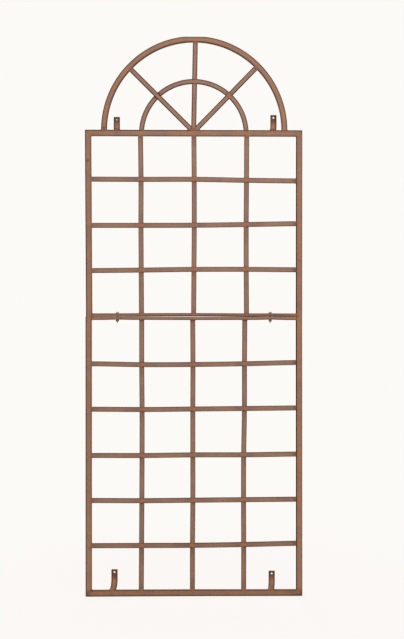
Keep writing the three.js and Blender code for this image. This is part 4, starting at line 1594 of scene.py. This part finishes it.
# %% Grow the beads along their lines
for panel, lines in beads.items():
    points = [point for start, end, *_ in lines for point in (start, end)]
    host = points_host(f"{panel}_weld_beads", points, [(2 * i, 2 * i + 1) for i in range(len(lines))])
    facings = [value for line in lines for value in (*line[2], *line[2])]
    host.data.attributes.new("facing", "FLOAT_VECTOR", "POINT").data.foreach_set("vector", facings)
    for column, name in ((3, "bead_width"), (4, "bead_rise")):
        values = [line[column] * MM for line in lines for _ in range(2)]
        host.data.attributes.new(name, "FLOAT", "POINT").data.foreach_set("value", values)
    made[f"{panel}_beads"] = run_tree(host, BEADS, BEAD_SIZES)
    print(panel, len(lines), "beads,", len(made[f"{panel}_beads"].data.polygons), "faces")

# %% [markdown]
# ## Heat, burns and shade on the meshes
#
# The coat reads three attributes besides the arris. Heat fades out within about 12 mm of a weld, and each
# weld has its own: the crossings were worked the most, the corners hardly. Burns are small dark spots
# beside the welds, scattered with a fixed seed, with a few stains that the photograph shows at known
# places, and a spot of painted shadow just under each crossing. Shade takes the orange out of the coat.
# On the bars it is painted shade around each joint, more below a crossing than above it, and over the
# lowest bars. It is painted shade in the seam and on the right at the top. It also darkens the bottom
# rail, with painted shade along its lower edge, and the feet of the stiles and the upright plates of the
# wall tabs.

# %% Welds, burns and stains
random.seed(7)
HEAT_REACH = 8.5
junctions = [(x, z, 0.9 if z < SEAM else 1.0) for x, z in CROSSINGS.values()]
junctions += [(*ARCH_CROSSINGS["centre_spoke"], 0.6), (*ARCH_CROSSINGS["right_spoke"], 1.3)]
junctions += [(HUB.x, RAIL_TOP - 1, 0.6)] + [(HUB.x + aside, RAIL_TOP + 1, heat)
                                            for aside, heat in ((-10, 0.4), (10, 0.5))]
junctions = np.array(junctions + tees)
spots = []
for i, (x, z, heat) in enumerate(junctions):
    if i < len(CROSSINGS):
        # A spot of painted shadow just under each crossing, where the crossbar would shade the upright
        spots.append((x + random.uniform(-5, 5), z - random.uniform(7.0, 8.5), random.uniform(2.6, 3.4),
                      random.uniform(0.6, 0.95) * (1.0 if z < SEAM else 0.8)))
    for _ in range(random.choice((1, 1, 2))):
        way = math.radians(random.choice((-135, -45, -90, 45, 135)) + random.uniform(-22, 22))
        reach = random.uniform(8.0, 10.5)
        spots.append((x + reach * math.cos(way), z + reach * math.sin(way),
                      random.uniform(1.5, 2.6), random.uniform(0.3, 0.7)))
# Stains that show in the photograph: x, height, radius and strength
# Of these, the four at the outer corners are painted shade that carries the dark arrises round the corners.
# Those at x 325 level with the upper crossbars, like the row below for the lower ones, are partly burn and
# partly painted shade where the crossbars meet the stile.
spots += [(-340, 1400, 5.0, 0.7), (-346, 1398, 4.0, 0.6), (-290, 1506, 5.0, 0.75), (-328, 20, 4.5, 0.75),
          (-236, 897, 7.0, 0.4), (-246, 900, 3.5, 0.8), (-125, 1604, 4.5, 0.85), (-111, 1616, 4.5, 0.85),
          (107.5, 1618, 4.0, 0.8), (122.7, 1611.6, 4.0, 0.8), (318, 24, 6.0, 0.6), (-325, 1486, 2.5, 0.6),
          (-324, 378, 4.5, 0.6), (326, 380, 4.5, 0.6), (326, 203, 4.5, 0.4), (-324, 532, 4.0, 0.4),
          (348, 1498, 4.5, 0.8), (-346, 1498, 3.5, 0.6), (347, 3, 6.0, 0.8), (-347, 3, 5.0, 0.7),
          (325, 1049, 5.5, 0.55), (325, 1196, 5.0, 0.35), (325, 1339, 5.5, 0.5)]
spots += [(325, line(325), 4.5, 0.45) for node, line in CROSSBARS.items() if node.startswith("lower")]
spots = np.array(spots)
print(len(junctions), "junctions,", len(spots), "burns and stains")

# %% Shades and arrises, as functions of x and height
def ramp(values, start, span):
    """0 before start, 1 a span past it, in millimetres. A negative span runs the other way."""
    return np.clip((values - start) / span, 0, 1)


def darker_bottom_rail(x, z):
    """The bottom rail is darker all over and at its ends, and painted shade darkens its lower edge by the
    floor
    """
    return 0.13 + 0.4 * ramp(z, 6.5, -4) + (0.22 * ramp(x, 280, 40) + 0.3 * ramp(-x, 325, 15))


def darker_stile_foot(x, z):
    """The lower corners of the stiles are darker too"""
    return 0.5 * ramp(z, 28, -14)


def painted_seam_shade(x, z):
    """Painted shade in the seam between the mating rails, towards the right"""
    return 0.3 * ramp(np.abs(z - SEAM), 3.2, -2) * ramp(x, 120, 60)


def painted_shade_to_the_right(x, z):
    """Painted shade on the right part of the top rail and the upper right stile, where the light from the
    right falls strongest, and more in the top right corner
    """
    return 0.13 * (ramp(x, 318, 14) * ramp(z, 1466, 14)) + 0.07 * ramp(x, 100, 100)


def apart(x, z, places):
    """From each place to each vertex, across and up"""
    return np.stack((x, z), axis=1)[:, None, :] - places[None, :, :2]


def painted_shade_on_bars(x, z):
    """Painted shade on the bars around each crossing, more below it than above, as the crossbar's shadow,
    and beside each bar end where it meets the tube.

    Near the ground the bars are painted darker all over.
    """
    from_crossing = apart(x, z, junctions[:len(CROSSINGS)])
    reach = np.maximum(np.linalg.norm(from_crossing, axis=2), 1.0)
    smoke = np.exp(-np.maximum(reach - 10, 0) / 30) * ramp(reach, 7, 5)
    rise = from_crossing[:, :, 1] / reach
    smoke *= 1 - 0.5 * np.maximum(rise, 0) + 0.25 * np.maximum(-rise, 0)
    to_end = np.linalg.norm(apart(x, z, junctions[-len(tees):]), axis=2).min(axis=1)
    smoke = np.maximum(smoke.max(axis=1), np.exp(-to_end / 30))
    return 0.14 * ramp(z, 330, -180) + smoke * np.where(z < SEAM, 0.25, 0.2)


def seam_arris(x, z):
    """At the seam only the upper rail's arris is painted dark, and less of it towards the left"""
    to_left = np.maximum(ramp(x, -230, 60), 0.15)
    return np.where(z > SEAM + 4.5, 0.75, np.where(z > SEAM - 0.7, to_left, 0.0))


def lower_rail_arris(x, z):
    """The lower mating rail shows a dark arris only along its lower edge"""
    return np.where(z > SEAM - 5, 0.0, 0.6)


def stile_arris(x, z):
    """Painted shade: the arrises on the left, turned from the light from the right, are painted darker than
    those on the right
    """
    return np.where(x < np.median(x), 1.2, 0.55)


def bottom_rail_arris(x, z):
    """Its upper arris is the fainter one"""
    return np.where(z > TUBE_FACE / 2, 0.65, 1.0)


def top_rail_arris(x, z):
    """Painted shade along the top, where the light from above falls most, and hardly any along the underside
    """
    return np.where(z > RAIL_TOP - TUBE_FACE / 2, 1.4, 0.4)


def tab_plate(base):
    """A tab's upright plate is darker, from 20 mm above the rail"""
    return lambda x, z: 0.68 * ramp(z - base, 20, 18)


SHADES = {"bottom_rail": darker_bottom_rail, "lower_left_stile": darker_stile_foot, "lower_right_stile": darker_stile_foot,
          "upper_mating_rail": painted_seam_shade, "top_rail": painted_shade_to_the_right, "upper_right_stile": painted_shade_to_the_right}
SHADES.update({node: painted_shade_on_bars for node in (*UPRIGHTS, *CROSSBARS)})
SHADES.update({f"{corner}_wall_tab": tab_plate(tab_rail(corner)) for corner in TABS})
ARRISES = {node: stile_arris for node in STILE_LEAN}
ARRISES.update({node: 1.2 for node in (*SPOKES, "inner_arch", *(f"{corner}_wall_tab" for corner in TABS))})
ARRISES.update(outer_arch=0.75, top_rail=top_rail_arris, bottom_rail=bottom_rail_arris)
ARRISES.update(lower_mating_rail=lower_rail_arris, upper_mating_rail=seam_arris)
print(len(SHADES), "pieces shaded,", len(ARRISES), "with their own arrises")

# %% Write the attributes
# The beads and pads themselves are all a little warm
LEAST_BEAD_HEAT = 0.1


def write_value(mesh, name, values):
    layer = mesh.attributes.get(name) or mesh.attributes.new(name, "FLOAT", "POINT")
    layer.data.foreach_set("value", np.ascontiguousarray(values, dtype=np.float32))


def weather(piece, least_heat, shade, arris):
    """Writes heat, burns with the painted shadows under the crossings, and shade on a piece, and makes its
    arrises darker or fainter
    """
    mesh = piece.data
    points = np.zeros(len(mesh.vertices) * 3)
    mesh.vertices.foreach_get("co", points)
    x, z = (points.reshape(-1, 3) / MM)[:, (0, 2)].T
    gaps = np.linalg.norm(apart(x, z, junctions), axis=2)
    heat = (junctions[:, 2] * np.exp(-(gaps / HEAT_REACH) ** 4)).max(axis=1)
    write_value(mesh, "weld_heat", np.maximum(heat, least_heat))
    away = np.linalg.norm(apart(x, z, spots), axis=2)
    write_value(mesh, "burn", (spots[:, 3] * np.exp(-(away / spots[:, 2]) ** 2)).max(axis=1))
    write_value(mesh, "shade", shade(x, z) if shade else np.zeros(len(x)))
    if arris != 1.0 and "edge_band" in mesh.attributes:
        band = np.zeros(len(x), dtype=np.float32)
        mesh.attributes["edge_band"].data.foreach_get("value", band)
        write_value(mesh, "edge_band", band * (arris(x, z) if callable(arris) else arris))


for node, piece in made.items():
    if not node.startswith(("bolt", "nut")):
        least_heat = LEAST_BEAD_HEAT if node.endswith(("pads", "beads")) else 0.0
        weather(piece, least_heat, SHADES.get(node), ARRISES.get(node, 1.0))
print("weathered all", len(made), "pieces but the bolts and nuts")

# %% [markdown]
# ## Spatter
#
# Arc welding throws tiny beads of steel that freeze on the bars near a joint and vanish under the coat.
# They are scattered over the bars' own surface, thickest where the heat attribute is high.

# %% Scatter the spatter
def spatter_tree(material):
    sizes = {"Density": 9000.0, "Smallest": 0.0002, "Largest": 0.00055, "Seed": 5}
    group, size = new_tree("weld_spatter", sizes)
    near = maths(group, "SUBTRACT", carried(group, "weld_heat"), 0.08, clamp=True)
    thick = maths(group, "MULTIPLY", near, size["Density"])
    points = add(group, "GeometryNodeDistributePointsOnFaces", {"Mesh": size["Geometry"], "Density": thick,
                                                                "Seed": size["Seed"]})
    speck = add(group, "GeometryNodeMeshIcoSphere", {"Radius": 1.0, "Subdivisions": 1})
    grow = add(group, "FunctionNodeRandomValue", {2: size["Smallest"], 3: size["Largest"],
                                                  "Seed": size["Seed"]}, data_type="FLOAT")
    specks = copies(group, points.outputs[0], speck.outputs[0], Scale=grow.outputs[1])
    return end_tree(group, specks, material, True)


SPATTER = spatter_tree(bead_coat)
SPATTER_SIZES = {"Density": 2000.0, "Smallest": 0.2 * MM, "Largest": 0.45 * MM, "Seed": 5}
for panel in ("lower", "upper"):
    host = points_host(f"{panel}_weld_spatter")
    gathered = bmesh.new()
    for node in (*UPRIGHTS, *CROSSBARS):
        if node.startswith(panel):
            gathered.from_mesh(made[node].data)
    gathered.to_mesh(host.data)
    gathered.free()
    made[f"{panel}_spatter"] = run_tree(host, SPATTER, SPATTER_SIZES)
    for name, value in (("weld_heat", 0.5), ("burn", 0.25)):
        write_value(host.data, name, np.full(len(host.data.vertices), value))
    print(panel, "spatter faces", len(host.data.polygons))

# %% [markdown]
# ## Hand the pieces to the frame
#
# Each dressed piece rides on the body of the node that it stands for. The welds ride on their panel.

# %% Ride and replace
THIN = (*UPRIGHTS, *CROSSBARS, *SPOKES, "inner_arch")
for node, piece in made.items():
    fastener = node.startswith(("bolt", "nut"))
    if not piece.data.materials:
        coat = bar_coat if node in THIN else rust_coat
        plate = zinc_in_painted_shade if node.startswith("nut") else zinc_plate
        piece.data.materials.append(plate if fastener else coat)
    if node in BODY_OF:
        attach(piece, BODY_OF[node])
        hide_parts(node)
    else:
        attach(piece, "lower_panel" if node.startswith("lower") else "upper_panel")
left_over = sorted(set(frame["nodes"]) - set(made))
triangles = sum(len(polygon.vertices) - 2 for piece in made.values() for polygon in piece.data.polygons)
print(len(made), "pieces,", triangles, "triangles, CAD nodes left as they are:", left_over)
